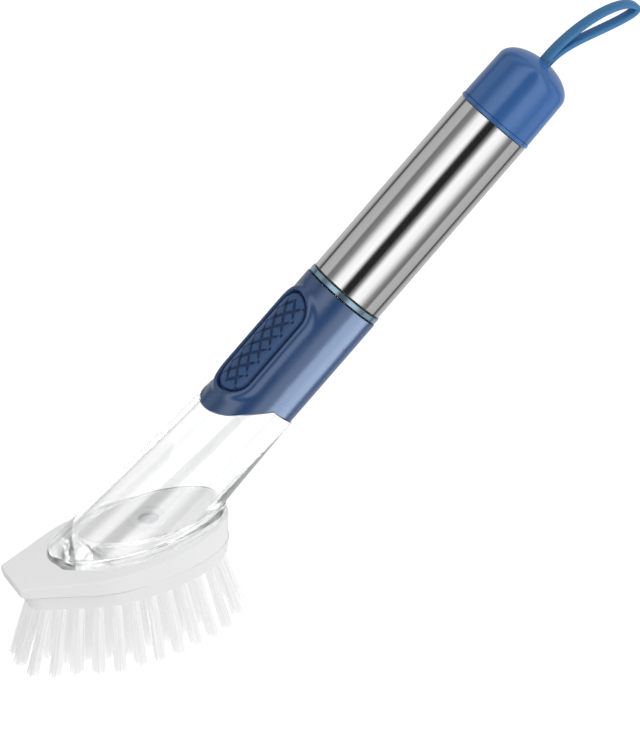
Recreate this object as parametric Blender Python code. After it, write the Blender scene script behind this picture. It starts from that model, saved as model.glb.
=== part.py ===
"""A dish brush that carries its soap in the handle.

The handle lies along +X, from the head at -X to the screw cap at +X, and its thumb pad faces +Z. Everything
is first placed from the point where the handle's axis meets the deck, the flat top of the brush head. The
whole brush is then set down so that the middle of its underside is the origin.
"""

import math

import bmesh
import bpy
from mathutils import Matrix, Vector
from mathutils.geometry import delaunay_2d_cdt

MM = 0.001
DEGREE = math.pi / 180

# Clearances
GAP = 0.3 * MM
WELD = 0.0001 * MM
OVERRUN = 3.0 * MM

# Counts of facets
ROUND_STEPS = 40
SMALL_ROUND_STEPS = 28
TONGUE_STEPS = 20
BACK_STEPS = 16
HEEL_STEPS = 16
CORNER_STEPS = 3
RACE_END_STEPS = 11

# Places along the handle
TONGUE_TIP_X = 56.8 * MM
BACK_EDGE_X = 73.1 * MM
PAD_X = 90.4 * MM
RING_X = 122.6 * MM
RIM_X = 212.0 * MM

# Steel sleeve and the trim ring below it
SLEEVE_RADIUS = 16.0 * MM
SLEEVE_WALL = 0.6 * MM
RING_LENGTH = 2.9 * MM
RING_RADIUS = 16.5 * MM
RING_ROUNDING = 0.4 * MM

# Reservoir tube: body under the sleeve, mouth at the cap, spigot in the neck
RESERVOIR_WALL = 2.2 * MM
MOUTH_RADIUS = 12.2 * MM
MOUTH_LENGTH = 17.0 * MM
MOUTH_WALL = 1.8 * MM
SPIGOT_LENGTH = 8.0 * MM
SHOULDER_LENGTH = 3.0 * MM
O_RING_SECTION = 0.45 * MM
O_RING_GROOVE = 1.3 * MM

# Grip shell
GRIP_RADIUS = 16.75 * MM
GRIP_WALL = 1.4 * MM
GRIP_EDGE_ROUNDING = 0.5 * MM
TONGUE_ROUNDING = 18.0 * MM
TONGUE_FLANK = 45 * DEGREE

# Thumb pad, its moat and the raised bezel round it
PAD_LENGTH = 46.4 * MM
PAD_WIDTH = 16.2 * MM
PAD_TOP_RADIUS = 16.9 * MM
PAD_THICKNESS = 3.2 * MM
PAD_ROUNDING = 0.8 * MM
MOAT_WIDTH = 1.0 * MM
BEZEL_WIDTH = 2.6 * MM
BEZEL_HEIGHT = 1.1 * MM
MEMBRANE_THICKNESS = 0.9 * MM
MEMBRANE_LAP = 1.5 * MM

# Raised diamonds on the pad
DIAMOND_PITCH_X = 6.75 * MM
DIAMOND_PITCH_Y = 6.0 * MM
DIAMOND_GROOVE = 0.7 * MM
DIAMOND_HEIGHT = 0.4 * MM
DIAMOND_TAPER_SHARE = 0.82
DIAMOND_ROWS = 6

# Clear neck, from the grip down to its oval foot
NECK_RADIUS = 17.25 * MM
NECK_WALL = 2.8 * MM
SHANK_WALL = 2.6 * MM
NECK_SHOULDER = 3.0 * MM
FOOT_LENGTH = 75.6 * MM
FOOT_WIDTH = 37.6 * MM
FOOT_CENTRE = 0.8 * MM
FOOT_LIP = 1.6 * MM
FOOT_WIDEST_Z = 2.4 * MM
FOOT_GROOVE_Z = 2.05 * MM
FOOT_WALL_Z = 5.0 * MM
FOOT_SINK = 0.8 * MM
CAVITY_LENGTH = 57.3 * MM
CAVITY_WIDTH = 27.4 * MM
CAVITY_CENTRE = 5.9 * MM
CAVITY_FILLET = 1.6 * MM
CAVITY_FILLET_HEIGHT = 2.6 * MM

# Valve plate that closes the neck, with the slit valve below its hole
PLATE_THICKNESS = 2.3 * MM
PLATE_RAISE = 4.5 * MM
PLATE_SKIRT = 1.2 * MM
PLATE_REBATE = 1.2 * MM
OUTLET_RADIUS = 4.2 * MM
BOSS_RADIUS = 7.6 * MM
BOSS_WALL = 1.1 * MM
BOSS_HEIGHT = 1.0 * MM
SPOUT_RADIUS = 8.1 * MM
SPOUT_WALL = 1.5 * MM
SPOUT_LENGTH = 6.0 * MM
VALVE_FLANGE = 1.0 * MM
VALVE_SKIN = 0.8 * MM
VALVE_DOME_RADIUS = 3.4 * MM
VALVE_DOME_DEPTH = 2.2 * MM
RETAINER_LENGTH = 2.8 * MM

# Screw cap
CAP_LENGTH = 30.4 * MM
CAP_RADIUS = 16.05 * MM
CAP_SHOULDER_RADIUS = 15.7 * MM
CAP_WALL = 1.5 * MM
CAP_DOME_HEIGHT = 8.9 * MM
CAP_BAND_LENGTH = 1.9 * MM
CAP_BAND_PROUD = 0.25 * MM
CAP_GROOVE = 0.5 * MM
LINER_SETBACK = 1.0 * MM
LINER_ROOF = 1.5 * MM
SEAL_THICKNESS = 1.5 * MM

# Hanging strap: a flat band looped back to a stem that is trapped in the cap
STRAP_WIDTH = 4.8 * MM
STRAP_THICKNESS = 1.5 * MM
STRAP_REACH = 38.0 * MM
STRAP_DROP = 17.0 * MM
STRAP_STEM = 2.5 * MM
STRAP_HOLE_RADIUS = 3.25 * MM
STRAP_KNOB_RADIUS = 6.0 * MM
STRAP_KNOB_LENGTH = 2.4 * MM
STRAP_STEPS = 34
# The loop's middle line, as shares of its reach and its drop
STRAP_OUTWARD_SHARES = ((0.0, 0.05), (0.30, 0.07), (0.72, -0.12), (1.0, -0.55), (1.03, -0.92))
STRAP_RETURN_SHARES = ((1.03, -0.92), (1.05, -1.14), (0.93, -1.12), (0.45, -0.40), (0.30, -0.07), (0.0, -0.05))

# Brush head, seen along its deck from the nose at -X to the heel at +X
HEAD_ANGLE = 39.5 * DEGREE
NOSE_REACH = 54.0 * MM
HEEL_REACH = 39.0 * MM
HEAD_WIDTH = 45.6 * MM
WIDEST_X = -11.0 * MM
SIDE_ROUNDING = 50.0 * MM
NOSE_FLANK = 22 * DEGREE
NOSE_ROUNDING = 2.5 * MM
BAND_NOSE_ROUNDING = 5.0 * MM
HEAD_DEPTH = 15.3 * MM
BRISTLE_TILT = 4.5 * DEGREE
SHELL_WALL = 2.4 * MM
SHELL_DRAFT = 0.8 * MM
DECK_ROUNDING = 0.5 * MM
SOCKET_WALL = 1.8 * MM

# Bristle plate under the head shell
BAND_HEIGHT = 6.6 * MM
BAND_SETBACK = 3.0 * MM
BAND_DRAFT = 0.6 * MM
BAND_RIM_HEIGHT = 1.2 * MM
BAND_RIM_CLEARANCE = 1.0 * MM
SLAB_MARGIN = 1.8 * MM
SLAB_THICKNESS = 1.0 * MM
SOAP_HOLE_RADIUS = 3.4 * MM
SOAP_FUNNEL_RADIUS = 6.0 * MM

# Bristles
BRISTLE_LENGTH = 31.5 * MM
BRISTLE_UNEVEN_SHARE = 0.05
STRAND_RADIUS = 0.42 * MM
STRAND_TIP_SHARE = 0.8
TUFT_RADIUS = 1.3 * MM
TUFT_SPLAY_SHARE = 0.6
FAN_SHARE = 0.2
FAN_CENTRE_X = -18.0 * MM
OUTER_ROW_MARGIN = 4.2 * MM
OUTER_ROW_TUFTS = 26
INNER_ROW_X = -8.0 * MM
INNER_ROW_LENGTH = 56.0 * MM
INNER_ROW_WIDTH = 19.0 * MM
INNER_ROW_TUFTS = 18
MIDDLE_ROW_START_X = -28.0 * MM
MIDDLE_ROW_PITCH = 7.4 * MM
MIDDLE_ROW_TUFTS = 4
TRIM_FLAT = 0.5 * MM

# Sizes that follow from those above
RESERVOIR_RADIUS = SLEEVE_RADIUS - SLEEVE_WALL - GAP
RESERVOIR_X = RING_X + GAP
MOUTH_BASE_X = RIM_X - 2 * GAP
MOUTH_TOP_X = MOUTH_BASE_X + MOUTH_LENGTH
MOUTH_BORE = MOUTH_RADIUS - MOUTH_WALL
SHANK_RADIUS = GRIP_RADIUS - GRIP_WALL - GAP
SHANK_BORE = SHANK_RADIUS - SHANK_WALL
SPIGOT_RADIUS = SHANK_BORE - GAP
NECK_TOP_X = RING_X - GAP
SEAL_X = MOUTH_TOP_X + GAP
LINER_ROOF_X = SEAL_X + SEAL_THICKNESS + GAP
CAP_TOP_X = RIM_X + CAP_LENGTH
CAP_SHOULDER_X = CAP_TOP_X - CAP_DOME_HEIGHT
WINDOW_MARGIN = MOAT_WIDTH
PLATE_TOP_Z = -FOOT_SINK + GAP + PLATE_RAISE + PLATE_THICKNESS
PARTING_DEPTH = HEAD_DEPTH - BAND_HEIGHT

DECK = Matrix.Rotation(HEAD_ANGLE, 4, "Y")
BRISTLE_PLANE = DECK @ Matrix.Translation((0, 0, -HEAD_DEPTH)) @ Matrix.Rotation(BRISTLE_TILT, 4, "Y")


# Building helpers

def clear_scene():
    for old in list(bpy.data.objects):
        bpy.data.objects.remove(old, do_unlink=True)


def plastic(name, colour, roughness, metallic=0.0, alpha=1.0):
    """A Principled material; colour is linear red, green and blue."""
    made = bpy.data.materials.new(name)
    made.use_nodes = True
    shader = made.node_tree.nodes["Principled BSDF"]
    shader.inputs["Base Color"].default_value = (*colour, 1.0)
    shader.inputs["Roughness"].default_value = roughness
    shader.inputs["Metallic"].default_value = metallic
    shader.inputs["Alpha"].default_value = alpha
    made.diffuse_color = (*colour, alpha)
    return made


def empty(name, parent=None, place=None):
    made = bpy.data.objects.new(name, None)
    made.empty_display_size = GRIP_RADIUS
    bpy.context.scene.collection.objects.link(made)
    made.parent = parent
    if place is not None:
        made.matrix_local = place
    return made


def finish(name, bm, parent, surface=None, place=None):
    """Turn a bmesh into an object; place is where its own frame stands in its parent's."""
    bmesh.ops.remove_doubles(bm, verts=bm.verts, dist=WELD)
    bmesh.ops.recalc_face_normals(bm, faces=bm.faces)
    mesh = bpy.data.meshes.new(name)
    bm.to_mesh(mesh)
    bm.free()
    mesh.shade_smooth()
    mesh.set_sharp_from_angle(angle=35 * DEGREE)
    made = bpy.data.objects.new(name, mesh)
    bpy.context.scene.collection.objects.link(made)
    made.parent = parent
    if surface is not None:
        mesh.materials.append(surface)
    if place is not None:
        made.matrix_local = place
    return made


def cutter(name, bm, parent, place=None):
    made = finish(name, bm, parent, place=place)
    made.hide_render = True
    made.display_type = "WIRE"
    return made


def combine(target, tool, operation):
    step = target.modifiers.new(f"{operation.lower()}_{tool.name}", "BOOLEAN")
    step.operation = operation
    step.solver = "EXACT"
    step.object = tool


def revolved(profile, axis="X", steps=ROUND_STEPS):
    """Spin a profile of (along, radius) points about an axis; it closes on itself unless it ends on the axis."""
    bm = bmesh.new()
    side = Vector((0, 0, 1)) if axis == "X" else Vector((1, 0, 0))
    line = Vector((1, 0, 0)) if axis == "X" else Vector((0, 0, 1))
    verts = [bm.verts.new(line * along + side * radius) for along, radius in profile]
    edges = [bm.edges.new(pair) for pair in zip(verts, verts[1:])]
    if profile[0][1] > 0 or profile[-1][1] > 0:
        edges.append(bm.edges.new((verts[-1], verts[0])))
    bmesh.ops.spin(bm, geom=verts + edges, cent=(0, 0, 0), axis=line, angle=2 * math.pi, steps=steps,
                   use_merge=True, use_duplicate=False)
    return bm


def lofted(rings, closed=False):
    """Skin rings of as many points each; an open loft is capped, a closed one joins its last ring to its first."""
    bm = bmesh.new()
    loops = [[bm.verts.new(point) for point in ring] for ring in rings]
    pairs = list(zip(loops, loops[1:]))
    if closed:
        pairs.append((loops[-1], loops[0]))
    else:
        bm.faces.new(loops[0])
        bm.faces.new(loops[-1])
    for low, high in pairs:
        for i in range(len(low)):
            j = (i + 1) % len(low)
            bm.faces.new((low[i], low[j], high[j], high[i]))
    return bm


def between(ring_a, ring_b, share):
    return [a.lerp(b, share) for a, b in zip(ring_a, ring_b)]


# Outlines

def tongue_corner():
    """The angle from the pad's direction at which the tongue's flank meets the square back edge."""
    round_run = TONGUE_ROUNDING * math.sin(TONGUE_FLANK)
    round_rise = TONGUE_ROUNDING * (1 - math.cos(TONGUE_FLANK))
    straight_run = (BACK_EDGE_X - TONGUE_TIP_X - round_rise) / math.tan(TONGUE_FLANK)
    return (round_run + straight_run) / GRIP_RADIUS


def handle_angles():
    """Angles round the handle from the pad's direction, with a point on each corner of the tongue."""
    corner = tongue_corner()
    front = [corner * (2 * i / TONGUE_STEPS - 1) for i in range(TONGUE_STEPS)]
    back = [corner + (2 * math.pi - 2 * corner) * i / BACK_STEPS for i in range(BACK_STEPS)]
    return front + back


def edge_x(angle):
    """Where the grip's lower edge lies: a rounded tongue under the pad, cut square round the back."""
    angle = abs(math.remainder(angle, 2 * math.pi))
    if angle >= tongue_corner():
        return BACK_EDGE_X
    run = angle * GRIP_RADIUS
    round_run = TONGUE_ROUNDING * math.sin(TONGUE_FLANK)
    if run <= round_run:
        return TONGUE_TIP_X + TONGUE_ROUNDING - math.sqrt(TONGUE_ROUNDING ** 2 - run ** 2)
    round_rise = TONGUE_ROUNDING * (1 - math.cos(TONGUE_FLANK))
    return TONGUE_TIP_X + round_rise + (run - round_run) * math.tan(TONGUE_FLANK)


def handle_point(x, radius, angle):
    return Vector((x, radius * math.sin(angle), radius * math.cos(angle)))


def straight_ring(x, radius):
    return [handle_point(x, radius, angle) for angle in handle_angles()]


def edge_ring(offset, radius):
    return [handle_point(edge_x(angle) + offset, radius, angle) for angle in handle_angles()]


def foot_ring(length, width, centre, z):
    """An ellipse parallel to the deck, its points matched to those round the handle."""
    return [DECK @ Vector((centre - length / 2 * math.cos(angle), width / 2 * math.sin(angle), z))
            for angle in handle_angles()]


def race_track(margin):
    """The pad's outline, with round ends, grown by a margin on every side."""
    half_width = PAD_WIDTH / 2 + margin
    straight = (PAD_LENGTH - PAD_WIDTH) / 2
    points = []
    for end in (1, -1):
        for i in range(RACE_END_STEPS + 1):
            angle = math.pi * (i / RACE_END_STEPS - 0.5)
            points.append((end * (straight + half_width * math.cos(angle)), end * half_width * math.sin(angle)))
    return points


def race_ring(margin, radius):
    """That outline laid on a cylinder round the handle's axis."""
    return [Vector((x, y, math.sqrt(radius ** 2 - y ** 2))) for x, y in race_track(margin)]


def race_slab(margin, low_radius, high_radius, rounding=0.0):
    """A block of the pad's outline between two cylinders round the handle's axis, built in strips along X.

    Rounding takes the edge off its upper side.
    """
    half_width = PAD_WIDTH / 2 + margin
    straight = (PAD_LENGTH - PAD_WIDTH) / 2
    bm = bmesh.new()
    sections = []
    for i in range(RACE_END_STEPS + 1):
        angle = math.pi * (i / RACE_END_STEPS - 0.5)
        y = half_width * math.sin(angle)
        reach = straight + half_width * math.cos(angle)
        crown = high_radius if 0 < i < RACE_END_STEPS else high_radius - rounding
        low = math.sqrt(low_radius ** 2 - y ** 2)
        high = math.sqrt(crown ** 2 - y ** 2)
        section = [(-reach, low), (reach, low), (reach, high - rounding)]
        if rounding:
            section += [(reach - rounding, high), (rounding - reach, high)]
        section.append((-reach, high - rounding))
        sections.append([bm.verts.new((x, y, z)) for x, z in section])
    bm.faces.new(sections[0])
    bm.faces.new(sections[-1])
    for near, far in zip(sections, sections[1:]):
        for i in range(len(near)):
            j = (i + 1) % len(near)
            bm.faces.new((near[i], near[j], far[j], far[i]))
    return bm


def head_outline(inset, setback=0.0, rounding=NOSE_ROUNDING):
    """The head seen from above: an oval heel, flanks that narrow to the nose, and a short square tip."""
    half_width = HEAD_WIDTH / 2 - inset
    heel = HEEL_REACH - WIDEST_X - inset
    side = SIDE_ROUNDING - inset
    nose_x = -NOSE_REACH + setback + inset
    half = []
    for i in range(HEEL_STEPS // 2 + 1):
        angle = math.pi / 2 * i / (HEEL_STEPS // 2)
        half.append((WIDEST_X + heel * math.cos(angle), half_width * math.sin(angle)))
    for i in range(1, CORNER_STEPS + 1):
        angle = NOSE_FLANK * i / CORNER_STEPS
        half.append((WIDEST_X - side * math.sin(angle), half_width - side * (1 - math.cos(angle))))
    flank_x, flank_y = half[-1]
    corner_x = nose_x + rounding
    corner_y = flank_y + (corner_x - flank_x) * math.tan(NOSE_FLANK) - rounding / math.cos(NOSE_FLANK)
    for i in range(CORNER_STEPS + 1):
        angle = math.pi / 2 + NOSE_FLANK + (math.pi / 2 - NOSE_FLANK) * i / CORNER_STEPS
        half.append((corner_x + rounding * math.cos(angle), corner_y + rounding * math.sin(angle)))
    return half + [(x, -y) for x, y in reversed(half[1:])]


def flat_ring(outline, z):
    return [Vector((x, y, z)) for x, y in outline]


def parting_ring(outline, lift=0.0):
    """The outline laid on the plane where the head shell meets the bristle plate."""
    return [Vector((x, y, lift - PARTING_DEPTH - x * math.tan(BRISTLE_TILT))) for x, y in outline]


def circle(radius, centre_x, count):
    return [(centre_x + radius * math.cos(2 * math.pi * i / count), radius * math.sin(2 * math.pi * i / count))
            for i in range(count)]


# Cap end

def make_end_cap(parent, surface):
    """A domed cup with a proud band round its rim and a hole for the strap."""
    band_radius = CAP_RADIUS + CAP_BAND_PROUD
    outer = [(RIM_X, band_radius - CAP_BAND_PROUD), (RIM_X + CAP_BAND_PROUD, band_radius),
             (RIM_X + CAP_BAND_LENGTH, band_radius),
             (RIM_X + CAP_BAND_LENGTH + CAP_GROOVE / 2, CAP_RADIUS - CAP_GROOVE / 2),
             (RIM_X + CAP_BAND_LENGTH + CAP_GROOVE, CAP_RADIUS)]
    inner_radius = CAP_SHOULDER_RADIUS - CAP_WALL
    inner_height = CAP_DOME_HEIGHT - CAP_WALL
    dome_steps = 8
    hole_outside = math.asin(STRAP_HOLE_RADIUS / CAP_SHOULDER_RADIUS)
    hole_inside = math.asin(STRAP_HOLE_RADIUS / inner_radius)
    dome = []
    for i in range(dome_steps + 1):
        angle = math.pi / 2 + (hole_outside - math.pi / 2) * i / dome_steps
        dome.append((CAP_SHOULDER_X + CAP_DOME_HEIGHT * math.cos(angle), CAP_SHOULDER_RADIUS * math.sin(angle)))
    inside = []
    for i in range(dome_steps // 2 + 1):
        angle = hole_inside + (math.pi / 2 - hole_inside) * i / (dome_steps // 2)
        inside.append((CAP_SHOULDER_X + inner_height * math.cos(angle), inner_radius * math.sin(angle)))
    skirt = [(RIM_X, CAP_RADIUS - CAP_WALL)]
    finish("end_cap", revolved(outer + dome + inside + skirt), parent, surface)


def make_cap_liner(parent, surface):
    """The threaded cup inside the cap; the boss on its roof holds the strap's knob up."""
    low = RIM_X + LINER_SETBACK
    top = LINER_ROOF_X + LINER_ROOF
    outside = CAP_SHOULDER_RADIUS - CAP_WALL - GAP
    inside = MOUTH_RADIUS + GAP
    boss_radius = STRAP_KNOB_RADIUS
    boss_top = knob_x() - GAP
    profile = [(LINER_ROOF_X, 0), (LINER_ROOF_X, inside), (low, inside), (low, outside), (top, outside),
               (top, boss_radius), (boss_top, boss_radius), (boss_top, 0)]
    finish("cap_liner", revolved(profile), parent, surface)


def make_cap_seal(parent, surface):
    inside = MOUTH_BORE
    profile = [(SEAL_X, inside), (SEAL_X, MOUTH_RADIUS), (SEAL_X + SEAL_THICKNESS, MOUTH_RADIUS),
               (SEAL_X + SEAL_THICKNESS, inside)]
    finish("cap_seal", revolved(profile, steps=SMALL_ROUND_STEPS), parent, surface)


def knob_x():
    """The knob's lower face, with its upper face a gap below the inside of the dome at the knob's edge."""
    share = STRAP_KNOB_RADIUS / (CAP_SHOULDER_RADIUS - CAP_WALL)
    ceiling = CAP_SHOULDER_X + (CAP_DOME_HEIGHT - CAP_WALL) * math.sqrt(1 - share ** 2)
    return ceiling - GAP - STRAP_KNOB_LENGTH


def bezier(points, share):
    """A Bezier curve of any degree, by repeated halfway steps."""
    points = list(points)
    while len(points) > 1:
        points = [a.lerp(b, share) for a, b in zip(points, points[1:])]
    return points[0]


def strap_line():
    """The band's middle line in the XZ plane: out, round the tip and back."""
    base = Vector((CAP_TOP_X, 0, 0))
    line = []
    for shares in (STRAP_OUTWARD_SHARES, STRAP_RETURN_SHARES):
        controls = [base + Vector((x * STRAP_REACH, 0, z * STRAP_DROP)) for x, z in shares]
        run = [bezier(controls, i / (STRAP_STEPS // 2)) for i in range(STRAP_STEPS // 2 + 1)]
        line += run if not line else run[1:]
    return line


def make_hanging_strap(parent, surface):
    """A looped band whose two ends merge in a stem, with a round knob below that can't pull through the cap."""
    line = strap_line()
    rings = []
    for i, point in enumerate(line):
        run = line[min(i + 1, len(line) - 1)] - line[max(i - 1, 0)]
        outward = Vector((-run.z, 0, run.x)).normalized() * (STRAP_THICKNESS / 2)
        side = Vector((0, STRAP_WIDTH / 2, 0))
        rings.append([point + outward + side, point + outward - side, point - outward - side,
                      point - outward + side])
    strap = finish("hanging_strap", lofted(rings), parent, surface)
    half_stack = STRAP_DROP * STRAP_OUTWARD_SHARES[0][1] + STRAP_THICKNESS / 2
    stem_low = knob_x() + STRAP_KNOB_LENGTH / 2
    stem = lofted([[Vector((x, y, z)) for y, z in ((STRAP_WIDTH / 2, half_stack), (-STRAP_WIDTH / 2, half_stack),
                                                   (-STRAP_WIDTH / 2, -half_stack),
                                                   (STRAP_WIDTH / 2, -half_stack))]
                   for x in (stem_low, CAP_TOP_X + STRAP_STEM)])
    combine(strap, cutter("strap_stem", stem, parent), "UNION")
    low, high = knob_x(), knob_x() + STRAP_KNOB_LENGTH
    knob = revolved([(low, 0), (low, STRAP_KNOB_RADIUS), (high, STRAP_KNOB_RADIUS), (high, 0)],
                    steps=SMALL_ROUND_STEPS)
    combine(strap, cutter("strap_knob", knob, parent), "UNION")


# Handle

def make_steel_sleeve(parent, surface):
    low = RING_X + RING_LENGTH + GAP
    high = RIM_X - GAP
    inside = SLEEVE_RADIUS - SLEEVE_WALL
    finish("steel_sleeve", revolved([(low, inside), (low, SLEEVE_RADIUS), (high, SLEEVE_RADIUS), (high, inside)]),
           parent, surface)


def make_trim_ring(parent, surface):
    high = RING_X + RING_LENGTH
    inside = RESERVOIR_RADIUS + GAP
    profile = [(RING_X, inside), (RING_X, RING_RADIUS - RING_ROUNDING), (RING_X + RING_ROUNDING, RING_RADIUS),
               (high - RING_ROUNDING, RING_RADIUS), (high, RING_RADIUS - RING_ROUNDING), (high, inside)]
    finish("trim_ring", revolved(profile), parent, surface)


def make_reservoir_tube(parent, surface):
    """The upper soap bottle: a mouth for the cap, a wide body under the sleeve and a spigot in the neck."""
    bore = RESERVOIR_RADIUS - RESERVOIR_WALL
    low = RESERVOIR_X - SPIGOT_LENGTH
    groove_x = RESERVOIR_X - SPIGOT_LENGTH / 2
    groove_radius = SPIGOT_RADIUS - 2 * O_RING_SECTION
    profile = [(low, MOUTH_BORE), (low, SPIGOT_RADIUS), (groove_x - O_RING_GROOVE / 2, SPIGOT_RADIUS),
               (groove_x - O_RING_GROOVE / 2, groove_radius), (groove_x + O_RING_GROOVE / 2, groove_radius),
               (groove_x + O_RING_GROOVE / 2, SPIGOT_RADIUS), (RESERVOIR_X, SPIGOT_RADIUS),
               (RESERVOIR_X, RESERVOIR_RADIUS), (MOUTH_BASE_X, RESERVOIR_RADIUS), (MOUTH_BASE_X, MOUTH_RADIUS),
               (MOUTH_TOP_X, MOUTH_RADIUS), (MOUTH_TOP_X, MOUTH_BORE),
               (MOUTH_BASE_X, MOUTH_BORE), (MOUTH_BASE_X - SHOULDER_LENGTH, bore),
               (RESERVOIR_X + SHOULDER_LENGTH, bore), (RESERVOIR_X, MOUTH_BORE)]
    finish("reservoir_tube", revolved(profile), parent, surface)


def make_reservoir_o_ring(parent, surface):
    x = RESERVOIR_X - SPIGOT_LENGTH / 2
    radius = SPIGOT_RADIUS - O_RING_SECTION + GAP / 2
    profile = [(x + O_RING_SECTION * math.cos(math.pi / 3 * i), radius + O_RING_SECTION * math.sin(math.pi / 3 * i))
               for i in range(6)]
    finish("reservoir_o_ring", revolved(profile, steps=SMALL_ROUND_STEPS), parent, surface)


def make_grip_shell(parent, surface):
    """A sleeve with a tongue below the pad; its bezel is a swept ridge joined on before the window is cut."""
    inside = GRIP_RADIUS - GRIP_WALL
    top = RING_X - GAP
    shell = finish("grip_shell", lofted([
        edge_ring(0, inside), edge_ring(0, GRIP_RADIUS - GRIP_EDGE_ROUNDING),
        edge_ring(GRIP_EDGE_ROUNDING, GRIP_RADIUS), straight_ring(top, GRIP_RADIUS), straight_ring(top, inside),
    ], closed=True), parent, surface)
    at_pad = Matrix.Translation((PAD_X, 0, 0))
    crest = GRIP_RADIUS + BEZEL_HEIGHT
    buried = GRIP_RADIUS - GRIP_WALL / 2
    ridge = lofted([
        race_ring(WINDOW_MARGIN - BEZEL_WIDTH / 4, buried), race_ring(WINDOW_MARGIN - BEZEL_WIDTH / 4, crest),
        race_ring(WINDOW_MARGIN + BEZEL_WIDTH / 4, crest),
        race_ring(WINDOW_MARGIN + BEZEL_WIDTH * 0.7, GRIP_RADIUS + BEZEL_HEIGHT * 0.6),
        race_ring(WINDOW_MARGIN + BEZEL_WIDTH, GRIP_RADIUS - GRIP_EDGE_ROUNDING),
        race_ring(WINDOW_MARGIN + BEZEL_WIDTH / 2, buried),
    ], closed=True)
    combine(shell, cutter("bezel_ridge", ridge, parent, at_pad), "UNION")
    window = race_slab(WINDOW_MARGIN, SHANK_RADIUS - GRIP_WALL, crest + OVERRUN)
    combine(shell, cutter("grip_window", window, parent, at_pad), "DIFFERENCE")


def make_thumb_pad(parent, surface):
    """The pad follows the handle's roundness; flat-topped diamonds stand on it in staggered rows."""
    slab = race_slab(0, PAD_TOP_RADIUS - PAD_THICKNESS, PAD_TOP_RADIUS, PAD_ROUNDING)
    pad = finish("thumb_pad", slab, parent, surface)
    tiles = bmesh.new()
    for column in (-1, 0, 1):
        rows = DIAMOND_ROWS if column else DIAMOND_ROWS - 1
        for row in range(rows):
            x = (row - (rows - 1) / 2) * DIAMOND_PITCH_X
            add_diamond(tiles, x, column * DIAMOND_PITCH_Y / 2)
    combine(pad, cutter("pad_diamonds", tiles, parent), "UNION")


def add_diamond(bm, x, y):
    """One raised diamond, sunk into the pad by as much as it stands proud; both its faces fold along the middle."""
    half_x = (DIAMOND_PITCH_X - DIAMOND_GROOVE) / 2
    half_y = (DIAMOND_PITCH_Y - DIAMOND_GROOVE) / 2
    loops = []
    for share, rise in ((1.0, -DIAMOND_HEIGHT), (DIAMOND_TAPER_SHARE, DIAMOND_HEIGHT)):
        loop = []
        for step_x, step_y in ((1, 0), (0, 1), (-1, 0), (0, -1)):
            side = y + step_y * half_y * share
            height = math.sqrt((PAD_TOP_RADIUS + rise) ** 2 - side ** 2)
            loop.append(bm.verts.new((x + step_x * half_x * share, side, height)))
        loops.append(loop)
        bm.faces.new((loop[0], loop[1], loop[2]))
        bm.faces.new((loop[0], loop[2], loop[3]))
    low, high = loops
    for i in range(4):
        j = (i + 1) % 4
        bm.faces.new((low[i], low[j], high[j], high[i]))


def make_pad_membrane(parent, surface):
    """The silicone skirt round the pad, lying on a ledge of the neck's shank under the grip shell."""
    low = SHANK_RADIUS - MEMBRANE_THICKNESS
    lap = MOAT_WIDTH + MEMBRANE_LAP
    rings = [race_ring(GAP, low), race_ring(GAP, SHANK_RADIUS), race_ring(lap, SHANK_RADIUS), race_ring(lap, low)]
    finish("pad_membrane", lofted(rings, closed=True), parent, surface,
           Matrix.Translation((PAD_X, 0, 0)))


# Clear neck

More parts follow.
